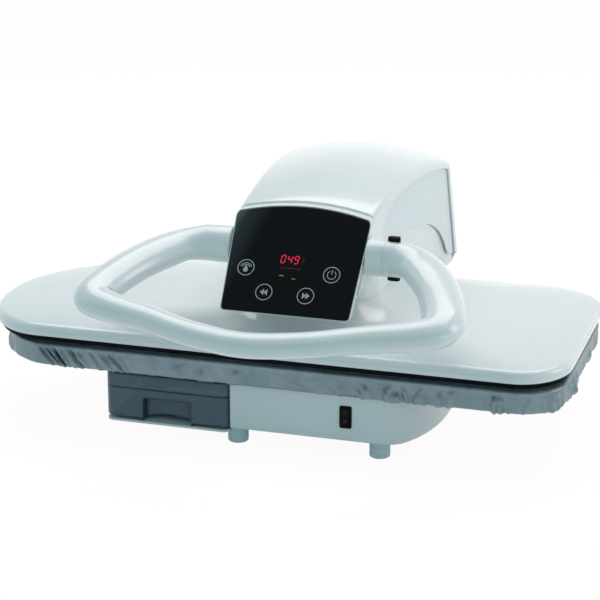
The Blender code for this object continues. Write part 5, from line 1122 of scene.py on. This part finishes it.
def panel_outline(inset):
    """Outline of the control panel as (across, up) points with round corners and an arched top."""
    low, high = inset, PANEL_HEIGHT - inset
    half_low, half_high = PANEL_BOTTOM_HALF - inset, PANEL_TOP_HALF - inset
    r, top = PANEL_BOTTOM_RADIUS, PANEL_TOP_RADIUS
    lift, start = top * 0.25, half_high - top * 0.62

    def arch(x):
        return (x, high - lift + PANEL_ARCH * (1.0 - (x / half_high) ** 2))

    right = bend((half_low - r, low), (half_low, low), (half_low, low + r), 10)
    for share in evenly(0, 1, 13, 1)[:-1]:
        right.append((lerp(half_low, half_high, share), lerp(low + r, high - top, share)))
    right += bend((half_high, high - top), (half_high, high - lift * 0.6), arch(start), 10)
    return mirrored(right + [arch(x) for x in evenly(start, 0.0, 24, 1)])


def panel_ring(outline, depth):
    """Outline set on the leaning panel, at a depth below its face."""
    lean, rise = math.sin(PANEL_LEAN), math.cos(PANEL_LEAN)
    y = -PANEL_FRONT + depth / rise
    return [(HEAD_X + across, y + up * lean, PANEL_BOTTOM + up * rise) for across, up in outline]


def inlay(name, outline, look="silver_ink", slot="steel", proud=INK_PROUD):
    """Flat mark printed on the glass."""
    rings = [panel_ring(outline, INK_ROOT - GLASS_PROUD), panel_ring(outline, -GLASS_PROUD - proud)]
    piece(name, loft(rings), slot=slot, look=look)


def key_ring(name, centre):
    """Printed ring round a touch key."""
    outer, inner = circle(centre, KEY_RADIUS), circle(centre, KEY_RADIUS - KEY_LINE)
    front, back = -GLASS_PROUD - INK_PROUD, INK_ROOT - GLASS_PROUD
    lines = ((outer, front), (inner, front), (inner, back), (outer, back))
    rings = [panel_ring(line, depth) for line, depth in lines]
    piece(name, loft(rings, closed=True), slot="steel", look="silver_ink")


def arc_mark(name, centre, radius, start, end):
    """Printed part of a ring."""
    outer, inner = (circle(centre, r, start, end, 40) for r in (radius, radius - MARK_LINE))
    inlay(name, outer + inner[::-1])


def digit(name, character, middle, width, height, look):
    """Seven-segment figure that leans a little to the right."""
    half, tall, line = width / 2, height / 2, height * SEGMENT_LINE
    for segment in SEGMENTS[character]:
        start, end = (Vector((x * half, y * tall)) for x, y in SEGMENT_ENDS[segment])
        along = (end - start).normalized()
        across = Vector((-along.y, along.x)) * line * 0.5
        start, end = start + along * line * 0.35, end - along * line * 0.35
        tip = along * line * 0.5
        corners = [start, start + tip + across, end - tip + across,
                   end, end - tip - across, start + tip - across]
        outline = [(middle + c.x + c.y * DIGIT_SLANT, DIGIT_UP + c.y) for c in corners]
        inlay("%s_%s" % (name, segment), outline, look, "black_gloss", SEGMENT_PROUD)


def build_bezel():
    """White frame of the panel and the black glass in it."""
    inner, floor = BEZEL_LIP, BEZEL_DEPTH - BEZEL_FLOOR
    levels = [(inner, floor), (inner, 0.0003), (inner - 0.0003, 0.0), (0.0005, 0.0), (0.00015, 0.00015),
              (0.0, 0.0006), (0.0, BEZEL_DEPTH)]
    rings = [panel_ring(panel_outline(inset), depth) for inset, depth in levels]
    piece("panel_bezel", loft(rings), ["control_bezel"], sharp=40)
    levels = [(0.0, GLASS_THICKNESS - GLASS_PROUD)] + rounded_edge(GLASS_PROUD, -GLASS_PROUD, way=-1)
    rings = [panel_ring(panel_outline(BEZEL_LIP + FIT_GAP + inset), depth) for inset, depth in levels]
    piece("panel_glass", loft(rings), ["control_glass"], slot="black_gloss", sharp=60)


def build_marks():
    """Key rings, plain symbols and lit digits on the glass."""
    for name, centre in KEYS.items():
        key_ring("key_ring_" + name, centre)
    for name, way in (("lower", -1), ("raise", 1)):
        x, up = KEYS[name]
        for index, start in enumerate((-0.0046, 0.0002)):
            arrow = ((0.0, -0.0044), (0.0052, 0.0), (0.0, 0.0044))
            outline = [(x + way * (start + across), up + rise) for across, rise in arrow]
            inlay("key_arrow_%s_%d" % (name, index), outline[::way])
    x, up = KEYS["power"]
    arc_mark("key_power_arc", (x, up), 0.0062, 118, 422)
    inlay("key_power_bar", rectangle(around(x, MARK_LINE), (up + 0.0006, up + 0.0072)))
    x, up = KEYS["steam"]
    for index, radius in enumerate((0.0082, 0.0060)):
        arc_mark("key_steam_arc_%d" % index, (x, up - 0.0012), radius, 20, 160)
    inlay("key_steam_drop", circle((x, up - 0.0030), 0.0033, 160, 380, 20) + [(x, up + 0.0040)])
    for index, figure in enumerate(DIGITS):
        digit("digit_%d" % index, *figure)
    for name, across, up, look in LIT_MARKS:
        inlay(name, rectangle(across, up), look, "black_gloss")


# Handle

def handle_path():
    """The loop from hub to hub as (across, along, half width, half height)."""
    root, thick = HUB_END + FIT_GAP / 2, (HANDLE_ROOT_RADIUS, HANDLE_ROOT_RADIUS)
    half = [(root, 0.0, *thick), (root + HANDLE_STRAIGHT, 0.0, *thick)]
    for (across, along), fullness in zip(HANDLE_PLAN_SHARES, HANDLE_ARM_SHARES):
        halves = [lerp(grip, arm, fullness) for grip, arm in zip(HANDLE_GRIP_HALVES, HANDLE_ARM_HALVES)]
        half.append((across * HANDLE_REACH, along * HANDLE_DEPTH, *halves))
    full = mirrored(half)
    return [full[0]] + smooth_path(full[1:-1], 8) + [full[-1]]


def handle_point(across, along):
    lean, rise = math.sin(HANDLE_TILT), math.cos(HANDLE_TILT)
    return Vector((HEAD_X + across, HANDLE_Y - along * rise, HANDLE_Z - along * lean))


def build_handle():
    """Loop with round roots, a bore for the shaft in each root, and a soft rim at each hub."""
    path = handle_path()
    chain = [(handle_point(across, along), halves) for across, along, *halves in path]
    rim = ((HUB_EDGE * 2, 0.0), (HUB_EDGE, 0.0), (HUB_EDGE / 3, HUB_EDGE / 3), (0.0, HUB_EDGE))
    ends = []
    for point, sign in ((chain[0][0], 1), (chain[-1][0], -1)):
        radii = [[HANDLE_ROOT_RADIUS - less] * 2 for away, less in rim]
        ends.append([(point + Vector((sign * away, 0, 0)), pair) for (away, less), pair in zip(rim, radii)])
    points, halves = zip(*(ends[0][::-1] + chain[1:-1] + ends[1]))
    start = path[0][0]
    depth = (start - 0.004, start + 0.030)
    bores = [rod(HANDLE_CENTRE, (sign, 0, 0), depth, HUB_BORE) for side, sign in SIDES]
    leaning = (0, -math.sin(HANDLE_TILT), math.cos(HANDLE_TILT))
    piece("grip_loop", oval_sweep(points, halves, 64, leaning), ["handle_loop"], "handle",
          cutters=bores, sharp=50)
    middle = HEAD_X + start + STOP_START + STOP_LENGTH / 2
    sides = around(middle, STOP_LENGTH), around(HANDLE_Y, STOP_WIDTH)
    outline = round_rectangle(*sides, STOP_WIDTH / 2.05, 12)
    levels = [(0.0, HANDLE_ROOT_RADIUS - 0.0016)] + rounded_edge(STOP_EDGE, HANDLE_ROOT_RADIUS + STOP_HEIGHT)
    for end, way in (("top", 1), ("bottom", -1)):
        rings = stack(inward(outline), [(inset, HANDLE_Z + way * rise) for inset, rise in levels])
        piece("swing_stop_" + end, loft(rings), ["handle_stop_" + end], "handle", "black_plastic")
    hub = [(HUB_START, HUB_HOLE), (HUB_END, HUB_HOLE), (HUB_END, HUB_RADIUS), (HUB_START, HUB_RADIUS),
           (HUB_START, HUB_HOLE)]
    profile = rounded_profile(hub, HUB_EDGE)[:-1]
    for side, sign in SIDES:
        shape = turned(profile, HANDLE_CENTRE, (sign, 0, 0), 72, closed=True)
        piece("swing_hub_" + side, shape, ["handle_hub_" + side], sharp=60)


# Base

def base_right_side():
    """Bulging right side of the base in plan, with a round corner between it and the front."""
    across, along = BASE_SIDE_RADII
    side = arc((BASE_RIGHT - across, BASE_SIDE_Y), BASE_SIDE_RADII, BASE_SIDE_START, 0, 24)
    start = math.radians(BASE_SIDE_START)
    outward = Vector((math.cos(start) / across, math.sin(start) / along)).normalized()
    x, y = side[0]
    radius = (y + BASE_FRONT) / (1.0 + outward.y)
    centre = (x - outward.x * radius, y - outward.y * radius)
    end = 360 + math.degrees(math.atan2(outward.y, outward.x))
    return arc(centre, (radius, radius), 270, end, 20)[:-1] + side


def base_outline():
    """Plan of the base, with a bay for the tank at its front left."""
    bay_x = -TANK_RIGHT + RUNNING_GAP
    corner, small = (BASE_CORNER, BASE_CORNER), (BAY_WALL, BAY_WALL)
    back = BASE_BACK - BASE_CORNER
    outline = arc((bay_x + BAY_WALL, -BASE_FRONT + BAY_WALL), small, 180, 270, 8)
    outline += base_right_side()
    outline += arc((BASE_RIGHT - BASE_CORNER, back), corner, 0, 90, 18)
    outline += arc((-BASE_LEFT_BACK + BASE_CORNER, back), corner, 90, 180, 18)
    outline += [(-BASE_LEFT_BACK, BAY_BACK + BASE_CORNER)]
    outline += arc((-TANK_LEFT - BAY_WALL / 2, BAY_BACK + BAY_WALL), small, 190, 270, 8)
    return outline + [(bay_x, BAY_BACK)]


def build_base():
    """Housing, open below, with openings for the switch, the inlet, the tank's outlet and a hose."""
    wall, roof = BASE_WALL, BASE_TOP - BASE_WALL
    levels = [(wall, roof), (wall, FOOT_HEIGHT)] + [(inset, FOOT_HEIGHT + rise) for inset, rise in SOFT_RIM]
    levels += rounded_edge(BASE_EDGE, BASE_TOP)
    play = 2 * FIT_GAP
    holes = [box_shape(around(SWITCH_X, SWITCH_WIDTH + play), around(-BASE_FRONT, 0.02),
                       around(SWITCH_Z, SWITCH_HEIGHT + play)),
             box_shape(around(INLET_X, INLET_WIDTH + play), around(BASE_BACK, 0.02),
                       around(INLET_Z, INLET_HEIGHT + play)),
             rod((OUTLET_X, BAY_BACK, OUTLET_Z), BACKWARD, (-0.004, 0.007), OUTLET_RADIUS + RUNNING_GAP, 32),
             rod(HOSE_HOLE, UP, (roof - 0.01, BASE_TOP + 0.01), HOSE_HOLE_RADIUS)]
    piece("base_shell", loft(stack(inward(base_outline()), levels)), ["base_housing"], "base",
          cutters=holes, look="white_satin", sharp=40)
    radius, groove = FOOT_RADIUS, FOOT_RADIUS - 0.0005
    profile = rounded_edge(FOOT_EDGE, radius) + [(0.0150, radius), (0.0154, groove), (0.0160, groove)]
    profile += [(0.0164, radius), (FOOT_HEIGHT - FIT_GAP, radius)]
    for name, (x, y) in FEET.items():
        tray_side = box_shape((x - 0.02, -TANK_RIGHT + RUNNING_GAP), around(y, 0.04),
                              (TRAY_BOTTOM - RUNNING_GAP, 0.03))
        piece("foot_pad_" + name, turned(profile, (x, y, 0), UP, 56), ["foot_" + name], "base", "rubber",
              cutters=[tray_side] if name == "front_left" else (), sharp=40)


# Tank

def tank_outline(inset):
    radius = max(TANK_CORNER - inset, TANK_WALL)
    depth = (-BASE_FRONT + inset, -BASE_FRONT + TANK_DEPTH - inset)
    return round_rectangle((-TANK_LEFT + inset, -TANK_RIGHT - inset), depth, radius, 12)


def front_prism(outline, front, back):
    return loft([[(x, y, z) for x, z in outline] for y in (front, back)])


def pull_arch(margin, front, back):
    """Low arch under the finger recess, wider and higher by a margin."""
    half, low = PULL_WIDTH / 2 + margin, TANK_BOTTOM - 0.004
    outline = []
    for x in evenly(-half, half, 24):
        rise = (PULL_ARCH + margin) * math.cos(math.pi / 2 * x / half) ** 0.7
        outline.append((TANK_MIDDLE + x, TANK_BOTTOM + rise))
    return front_prism(outline + [(TANK_MIDDLE + half, low), (TANK_MIDDLE - half, low)], front, back)


def pull_slab(margin, low, radius, front, back):
    """Block of the finger recess, whose two upper corners are round."""
    left, right = around(TANK_MIDDLE, PULL_WIDTH + 2 * margin)
    high = TANK_BOTTOM + PULL_HEIGHT + margin - radius
    outline = [(left, low), (right, low)] + arc((right - radius, high), (radius, radius), 0, 90, 8)
    return front_prism(outline + arc((left + radius, high), (radius, radius), 90, 180, 8), front, back)


def build_tank():
    """Clear tank, open above, with a finger recess and an arch below it at the front."""
    floor, wall, front = TANK_BOTTOM + TANK_WALL, TANK_WALL, -BASE_FRONT
    levels = [(wall + 0.0015, floor), (wall + 0.0004, floor + 0.0004), (wall, floor + 0.0015)]
    levels += [(wall, TANK_SEAM), (0.0, TANK_SEAM)] + rounded_edge(TANK_EDGE, TANK_BOTTOM, 9, way=-1)
    skin, outlet = front + wall / 2, (OUTLET_X, front + TANK_DEPTH, OUTLET_Z)
    walls = [pull_slab(wall, TANK_BOTTOM + wall / 2, 0.006, skin, front + PULL_DEPTH + wall),
             pull_arch(wall, skin, front + PULL_ARCH_DEPTH + wall)]
    hollows = [pull_slab(0.0, TANK_BOTTOM - 0.004, 0.005, front - 0.004, front + PULL_DEPTH),
               pull_arch(0.0, front - 0.004, front + PULL_ARCH_DEPTH),
               rod(outlet, BACKWARD, (-0.006, 0.003), OUTLET_RADIUS / 2 + FIT_GAP)]
    piece("tank_body", loft(stack(tank_outline, levels)), ["water_tank"], "tank", "smoke_clear",
          joined=walls, cutters=hollows, edge=0.0004, sharp=35)


def build_tank_lid():
    """Deep lid, open below, with a round well in which the filler cap sits."""
    low, roof, wall = TANK_SEAM + FIT_GAP, LID_TOP - TANK_WALL, TANK_WALL
    levels = [(wall + 0.0012, roof), (wall + 0.0003, roof - 0.0003), (wall, roof - 0.0012), (wall, low),
              (0.0006, low), (0.0, low + 0.0006)] + rounded_edge(LID_EDGE, LID_TOP)
    depth = LID_TOP - WELL_FLOOR
    well = rod(CAP_CENTRE, UP, (-WELL_FLOOR_THICKNESS, depth - wall / 2), WELL_RADIUS + wall, 64)
    holes = [rod(CAP_CENTRE, UP, (0.0, depth + 0.01), WELL_RADIUS, 64),
             rod(CAP_CENTRE, UP, (-0.01, 0.004), CAP_NECK_RADIUS + FIT_GAP, 64)]
    piece("tank_top", loft(stack(tank_outline, levels)), ["tank_lid"], "tank", "smoke_clear",
          joined=[well], cutters=holes, edge=0.0003, sharp=35)


def build_cap():
    """Screw cap with a finely ribbed rim and a bar across it to turn it by."""
    thick, radius = CAP_THICKNESS, CAP_RADIUS
    levels = ((-CAP_NECK_DEPTH, CAP_NECK_RADIUS, 0), (FIT_GAP, CAP_NECK_RADIUS, 0), (FIT_GAP, radius, 1),
              (thick * 0.6, radius, 1), (thick - 0.0008, radius - 0.0004, 0.5), (thick, radius - 0.0014, 0),
              (thick, radius - 0.0030, 0), (thick - 0.0008, radius - 0.0040, 0))
    x, y, z = CAP_CENTRE
    rings = []
    for rise, outer, rib in levels:
        ring = []
        for angle in evenly(0, math.tau, CAP_RIBS * 6)[:-1]:
            r = outer - rib * 0.0005 * (0.5 + 0.5 * math.cos(angle * CAP_RIBS))
            ring.append((x + r * math.cos(angle), y + r * math.sin(angle), z + rise))
        rings.append(ring)
    length, width, height = CAP_RIB
    bar = box_shape(around(x, length), around(y, width), (z + thick - 0.002, z + thick + height), width / 2.1)
    piece("filler_lid", loft(rings), ["filler_cap"], "cap", "grey_shell", look="smoke_cap", joined=[bar],
          edge=0.0004, sharp=40)


def build_tray():
    """Shelf under the tank, held by two arms under the base."""
    (left, right), (front, back) = (-TANK_LEFT, -TANK_RIGHT), (-BASE_FRONT, -BASE_FRONT + TANK_DEPTH)
    top, end = TRAY_BOTTOM + TRAY_THICKNESS, back + TRAY_ARM_LENGTH
    outline = round_rectangle((left, right), (front, back), TANK_CORNER, 12)
    shelf = loft([flat_ring(outline, TRAY_BOTTOM), flat_ring(outline, top)])
    arms = []
    for x in (left + 0.007 + FOOT_RADIUS, right - 0.007 - FOOT_RADIUS):
        across = around(x, 2 * FOOT_RADIUS)
        arms.append(box_shape(across, (back - FOOT_RADIUS, end), (TRAY_BOTTOM, top)))
        arms.append(box_shape(across, (back + RUNNING_GAP + BAY_WALL, end),
                              (TRAY_BOTTOM + TRAY_THICKNESS / 2, FOOT_HEIGHT - FIT_GAP)))
    piece("tank_shelf", shelf, ["tank_tray"], "base", look="white_satin", joined=arms, edge=0.0006, sharp=35)


# Switch and inlet

def framed_rings(x, z, width, height, corner, least, levels):
    """Upright rings, round at the corners, from (margin, depth) pairs."""
    rings = []
    for margin, y in levels:
        sides = around(x, width + 2 * margin), around(z, height + 2 * margin)
        outline = round_rectangle(*sides, max(least, corner + margin), 6)
        rings.append([(px, y, pz) for px, pz in outline])
    return rings


def build_switch():
    """Frame and hollow rocker of the switch, with a bar for on and a ring for off."""
    face, back, wall, rim = -BASE_FRONT - FIT_GAP, -BASE_FRONT + SWITCH_DEPTH, SWITCH_WALL, SWITCH_RIM
    front = face - SWITCH_FLANGE
    levels = [(-wall, back - wall), (-wall, front + 0.0003), (-wall + 0.0003, front), (rim - 0.0006, front),
              (rim - 0.0002, front + 0.0002), (rim, front + 0.0006), (rim, face), (0.0, face), (0.0, back)]
    rings = framed_rings(SWITCH_X, SWITCH_Z, SWITCH_WIDTH, SWITCH_HEIGHT, 0.0012, 0.0004, levels)
    piece("switch_bezel", loft(rings), ["switch_frame"], "base", "black_plastic", sharp=40)
    half, deep = SWITCH_HEIGHT / 2 - wall - RUNNING_GAP, front + ROCKER_DEPTH
    centre = Vector((front + ROCKER_DEPTH / 2, SWITCH_Z))

    def hollow(share):
        """Depth of the rocker's hollow face at a share of its half height."""
        return front - ROCKER_PROUD * (0.5 + 0.5 * share * share)

    def rocked(y, z):
        spoke = Matrix.Rotation(-ROCKER_SWING, 2) @ Vector((y - centre.x, z))
        return centre.x + spoke.x, centre.y + spoke.y

    def mark_ring(line, share, depth):
        return [(SWITCH_X + x, *rocked(hollow(share) + depth, half * share + z)) for x, z in line]

    profile = [(deep, -half * 0.75), (deep, half * 0.75), (front, half), (front - ROCKER_PROUD, half * 0.985)]
    profile += [(hollow(share), half * share) for share in evenly(1.0, -1.0, 20, 1)[:-1]]
    profile += [(front - ROCKER_PROUD, -half * 0.985), (front, -half)]
    sides = around(SWITCH_X, SWITCH_WIDTH - 2 * wall - 2 * RUNNING_GAP / 3)
    rocker = side_prism([rocked(y, z) for y, z in profile], *sides)
    piece("switch_rocker", rocker, ["power_rocker"], "rocker", "black_plastic", edge=0.0003, sharp=40)
    root, proud = 0.0004, -SEGMENT_PROUD
    bar = rectangle(around(0, 0.0007), around(0, 0.0032))
    marks = {"on": loft([mark_ring(bar, 0.55, depth) for depth in (root, proud)])}
    outer, inner = circle((0, 0), 0.0019, steps=32), circle((0, 0), 0.0013, steps=32)
    lines = ((outer, proud), (inner, proud), (inner, root), (outer, root))
    marks["off"] = loft([mark_ring(line, -0.55, depth) for line, depth in lines], closed=True)
    for name, mark in marks.items():
        piece("switch_mark_" + name, mark, body="rocker", slot="black_plastic", look="red_dim")


def build_inlet():
    """Mains inlet at the back, with three blades."""
    wall, rim, face = INLET_WALL, INLET_RIM, BASE_BACK + FIT_GAP
    out, back = face + INLET_FLANGE, BASE_BACK - INLET_DEPTH
    levels = [(-wall, back + wall), (-wall, out - 0.0004), (-wall + 0.0004, out), (rim - 0.0008, out),
              (rim, out - 0.0008), (rim, face), (0.0, face), (0.0, back)]
    rings = framed_rings(INLET_X, INLET_Z, INLET_WIDTH, INLET_HEIGHT, 0.0030, 0.0012, levels)
    piece("mains_socket", loft(rings), ["power_inlet"], "base", "black_plastic", sharp=40)
    for name, x, rise in (("left", -0.0070, -0.0020), ("middle", 0.0, 0.0025), ("right", 0.0070, -0.0020)):
        across, up = around(INLET_X + x, 0.0020), around(INLET_Z + rise, 0.0040)
        blade = box_shape(across, (back + wall - 0.001, out - 0.004), up)
        piece("socket_blade_" + name, blade, body="base", slot="brass", edge=0.0004)


# Cloth cover and pad

def crease(along, down, where, width, slant, depth):
    """One drag fold: a ridge that runs slantwise down the cloth, steeper on its far side."""
    offset = (along - where - slant * down) / width
    return depth * np.exp(-np.where(offset > 0, offset * 1.7, offset) ** 2)


def draw_folds(points, lengths, total):
    """Drag folds near the nose, and small folds all round that are deepest at the front right corner."""
    random = np.random.default_rng(7)
    front = (points[:, 1] < 0) & (points[:, 0] > DRAG_SPAN[0]) & (points[:, 0] < DRAG_SPAN[1])
    first, last = lengths[front].min(), lengths[front].max()
    folds = []
    where = first
    while where < last:
        share = (where - first) / (last - first)
        slant, reach = random.uniform(0.60, 0.95), random.uniform(0.8, 1.0)
        swell = 0.55 + 0.45 * math.sin(math.pi * min(share * 1.6 + 0.1, 1.0))
        depth = random.uniform(0.0020, 0.0042) * swell
        folds.append((where, random.uniform(0.0022, 0.0032), slant, depth, reach))
        behind = where + random.uniform(0.0040, 0.0050)
        folds.append((behind, random.uniform(0.0012, 0.0018), slant, -0.7 * depth, reach))
        where += random.uniform(0.008, 0.012) * lerp(1.0, 1.6, share)
    for k in range(SMALL_FOLDS):
        where = random.uniform(0.0, total)
        near = points[int(np.searchsorted(lengths, where)) % len(points)]
        corner = near[0] > 0.10 and near[1] < -0.06
        width = random.uniform(0.0030, 0.0085) * (0.8 if corner else 1.2)
        depth = random.uniform(0.25, 1.0) * (0.0042 if corner else 0.0014)
        folds.append((where, width, random.uniform(-0.45, 0.55), depth, random.uniform(0.35, 0.9)))
    return folds


def cloth_profile(top, bottom):
    """(inset, height) pairs from the flat top over the edge and down the side to the hem."""
    r = CLOTH_EDGE
    turn = rounded_edge(r, 0.0, way=-1)
    profile = [(inset, top) for inset in (CLOTH_FLAT_INSET, 0.026, 0.014, r + 0.002)]
    profile += [(inset, top - drop * CLOTH_TOP_SQUASH) for inset, drop in reversed(turn)]
    side, low_turn = top - r * CLOTH_TOP_SQUASH, bottom + r * CLOTH_LOW_SQUASH
    profile += [(0.0, height) for height in evenly(side, low_turn, 11, 1)[:-1]]
    profile += [(inset, bottom + drop * CLOTH_LOW_SQUASH) for inset, drop in turn]
    return profile + [(inset, bottom) for inset in evenly(r, CLOTH_TURN_IN, 4, 1)]


def shrunk(ring, share):
    """A ring drawn in towards its own middle."""
    middle = np.mean(np.array(ring), axis=0)
    return [tuple(middle + (np.array(point) - middle) * share) for point in ring]


def build_cloth():
    """Fitted cloth cover: flat on top, drawn round the edge and gathered in below."""
    edge = board_outline(COVER_INSET, CLOTH_STEP)
    points = np.array(edge)
    step = np.linalg.norm(np.roll(points, -1, 0) - points, axis=1)
    lengths, total = np.concatenate([[0.0], np.cumsum(step)[:-1]]), step.sum()
    folds = draw_folds(points, lengths, total)
    outward = points - np.array(offset_outline(edge, 0.001))
    outward /= np.maximum(np.linalg.norm(outward, axis=1, keepdims=True), 1e-9)
    thick, r = CLOTH_THICKNESS, CLOTH_EDGE
    top, bottom = PRESS_LINE - FIT_GAP, BOARD_BOTTOM - thick - FIT_GAP
    side, low_turn = top - r * CLOTH_TOP_SQUASH, bottom + r * CLOTH_LOW_SQUASH
    rings = []
    for inset, height in cloth_profile(top, bottom):
        down = max(0.0, top - height)
        stand = np.zeros(len(edge))
        for where, width, slant, depth, reach in folds:
            fade = np.clip((down / 0.026 - (1.0 - reach)) / 0.30, 0.0, 1.0)
            for lap in (-total, 0.0, total):
                stand += crease(lengths + lap, down, where, width, slant, depth) * fade
        fullness = smooth_step(down / 0.010) * (1.0 if inset <= r else max(0.25, 1.0 - (inset - r) / 0.030))
        stand = (stand - FOLD_SINK) * fullness
        belly = 0.0010 * math.sin(math.pi * min(down / (top - bottom), 1.0))
        moved = np.array(offset_outline(edge, inset)) + outward * (stand + belly)[:, None]
        under = inset > 0.0 and height <= low_turn
        drop = np.abs(stand) * 0.45 * smooth_step(inset / r) * under
        rings.append([(x, y, height - dz) for (x, y), dz in zip(moved, drop)])
    levels = [(CLOTH_TURN_IN, bottom + thick * 0.6), (r + 0.004, bottom + thick), (0.0035, low_turn),
              (0.0030, side), (0.0085, top - thick), (CLOTH_FLAT_INSET, top - thick)]
    inner = stack(inward(edge), levels)
    over = [shrunk(rings[0], share) for share in FLAT_SHARES]
    under = [shrunk(inner[-1], share) for share in reversed(FLAT_SHARES)]
    shape = loft(over + rings + inner + under)
    cloth = piece("cloth_cover", shape, ["board_cover"], "base", "silver_cloth", sharp=80)


def build_pad():
    """Felt pad under the cloth, a little fuller at half its height."""
    low = BOARD_BOTTOM + DECK_THICKNESS + FIT_GAP
    high = PRESS_LINE - FIT_GAP - CLOTH_THICKNESS - FIT_GAP
    levels = []
    for share in evenly(0, 1, 12):
        fullness = math.sin(math.pi * share) ** 0.5
        levels.append((PAD_INSET + PAD_BULGE * (1.0 - fullness), lerp(low, high, share)))
    pad = piece("felt_pad", loft(stack(board_outline, levels)), ["board_pad"], "base", "pad_foam", sharp=60)


# What stays from the frame

def dress_frame():
    """Give every node of the frame the material of its slot."""
    slots = {part["node"]: part["material_slot"] for part in frame["record"]["subparts"]}
    for name, node in frame["nodes"].items():
        node.data.materials.clear()
        node.data.materials.append(MATERIALS[slots[name]])
        if not node.hide_render:
            node.data.shade_smooth()
            node.data.set_sharp_from_angle(angle=math.radians(SHARP_ANGLE))


# Studio

def build_stage():
    """Pale floor that glows softly where it is seen straight, through the tank or in a reflection."""
    mesh = bpy.data.meshes.new("floor")
    mesh.from_pydata([(-6, -6, 0), (6, -6, 0), (6, 6, 0), (-6, 6, 0)], [], [(0, 1, 2, 3)])
    floor = link_new("floor", mesh)
    material = bpy.data.materials.new("pale_floor")
    material.use_nodes = True
    tree = Tree(material.node_tree)
    shader = tree.nodes["Principled BSDF"]
    shader.inputs["Base Color"].default_value = (0.80, 0.81, 0.81, 1)
    shader.inputs["Roughness"].default_value = 0.9
    glow = tree.node("Emission", Strength=1.06, Color=(1.0, 0.985, 0.982, 1))
    path = tree.node("LightPath").outputs
    straight = tree.math("MAXIMUM", path["Is Camera Ray"], path["Is Transmission Ray"])
    amount = tree.math("MULTIPLY", tree.math("MAXIMUM", straight, path["Is Glossy Ray"]), 0.90)
    mixed = tree.blend(amount, shader.outputs["BSDF"], glow.outputs["Emission"])
    tree.join(mixed, tree.nodes["Material Output"].inputs["Surface"])
    mesh.materials.append(material)


def build_world():
    """White to the camera; to the surfaces a studio that is bright low down and dim overhead."""
    world = bpy.data.worlds.new("studio")
    bpy.context.scene.world = world
    world.use_nodes = True
    tree = Tree(world.node_tree)
    fill = tree.nodes["Background"]
    fill.inputs["Color"].default_value = (0.54, 0.90, 0.97, 1)
    fill.inputs["Strength"].default_value = 0.46
    white = tree.node("Background", Color=(1, 1, 1, 1), Strength=1.0)
    mirror = tree.node("Background")
    rise = tree.split(tree.node("TexCoord").outputs["Generated"])["Z"]
    tree.join(tree.ramp(rise, [(0.10, (1, 1, 1)), (0.62, (0.10, 0.11, 0.12))]), mirror.inputs["Color"])
    path = tree.node("LightPath").outputs
    straight = tree.math("MAXIMUM", path["Is Camera Ray"], path["Is Transmission Ray"])
    lit = tree.blend(path["Is Glossy Ray"], fill.outputs["Background"], mirror.outputs["Background"])
    seen = tree.blend(straight, lit, white.outputs["Background"])
    tree.join(seen, tree.nodes["World Output"].inputs["Surface"])


def area_light(name, place, target, size, power, colour=(1, 1, 1)):
    data = bpy.data.lights.new(name, "AREA")
    data.shape = "RECTANGLE"
    data.size, data.size_y = size
    data.energy = power
    data.color = colour
    light = link_new(name, data)
    light.location = place
    light.rotation_euler = (Vector(target) - Vector(place)).to_track_quat("-Z", "Y").to_euler()


def build_lights():
    area_light("overhead_softbox", (-0.2, 0.9, 2.2), (0.0, 0.0, 0.15), (2.6, 1.8), 42.0, (1.0, 0.87, 0.86))
    area_light("left_softbox", (-1.9, -0.5, 1.3), (0.0, 0.0, 0.18), (0.7, 1.2), 2.0)
    area_light("right_softbox", (2.0, 0.4, 1.0), (0.1, 0.0, 0.18), (0.8, 1.4), 11.0, (1.0, 0.84, 0.84))
    area_light("corner_softbox", (1.5, -0.9, 0.55), (0.40, -0.10, 0.10), (0.30, 0.30), 0.8, (1.0, 0.92, 0.90))


def build_camera():
    azimuth, elevation, distance = math.radians(16.826), math.radians(18.256), 2.95
    level = math.cos(elevation)
    back = Vector((math.sin(azimuth) * level, -math.cos(azimuth) * level, math.sin(elevation)))
    data = bpy.data.cameras.new("camera")
    data.lens, data.sensor_width = 132.0, 36.0
    data.clip_end = 50.0
    camera = link_new("camera", data)
    camera.location = Vector((0.0062, 0.02407, 0.1503)) + back * distance
    camera.rotation_euler = (-back).to_track_quat("-Z", "Y").to_euler()
    bpy.context.scene.camera = camera


for build in (build_camera, build_world, build_lights, build_stage, build_plate_cover, build_neck,
              build_cowl, build_side_panels, build_back_cover, build_bezel, build_marks, build_handle,
              build_base, build_tank, build_tank_lid, build_cap, build_tray, build_switch, build_inlet,
              build_heated_plate, build_cloth, build_pad, dress_frame):
    build()

bpy.context.scene.view_settings.view_transform = "Standard"
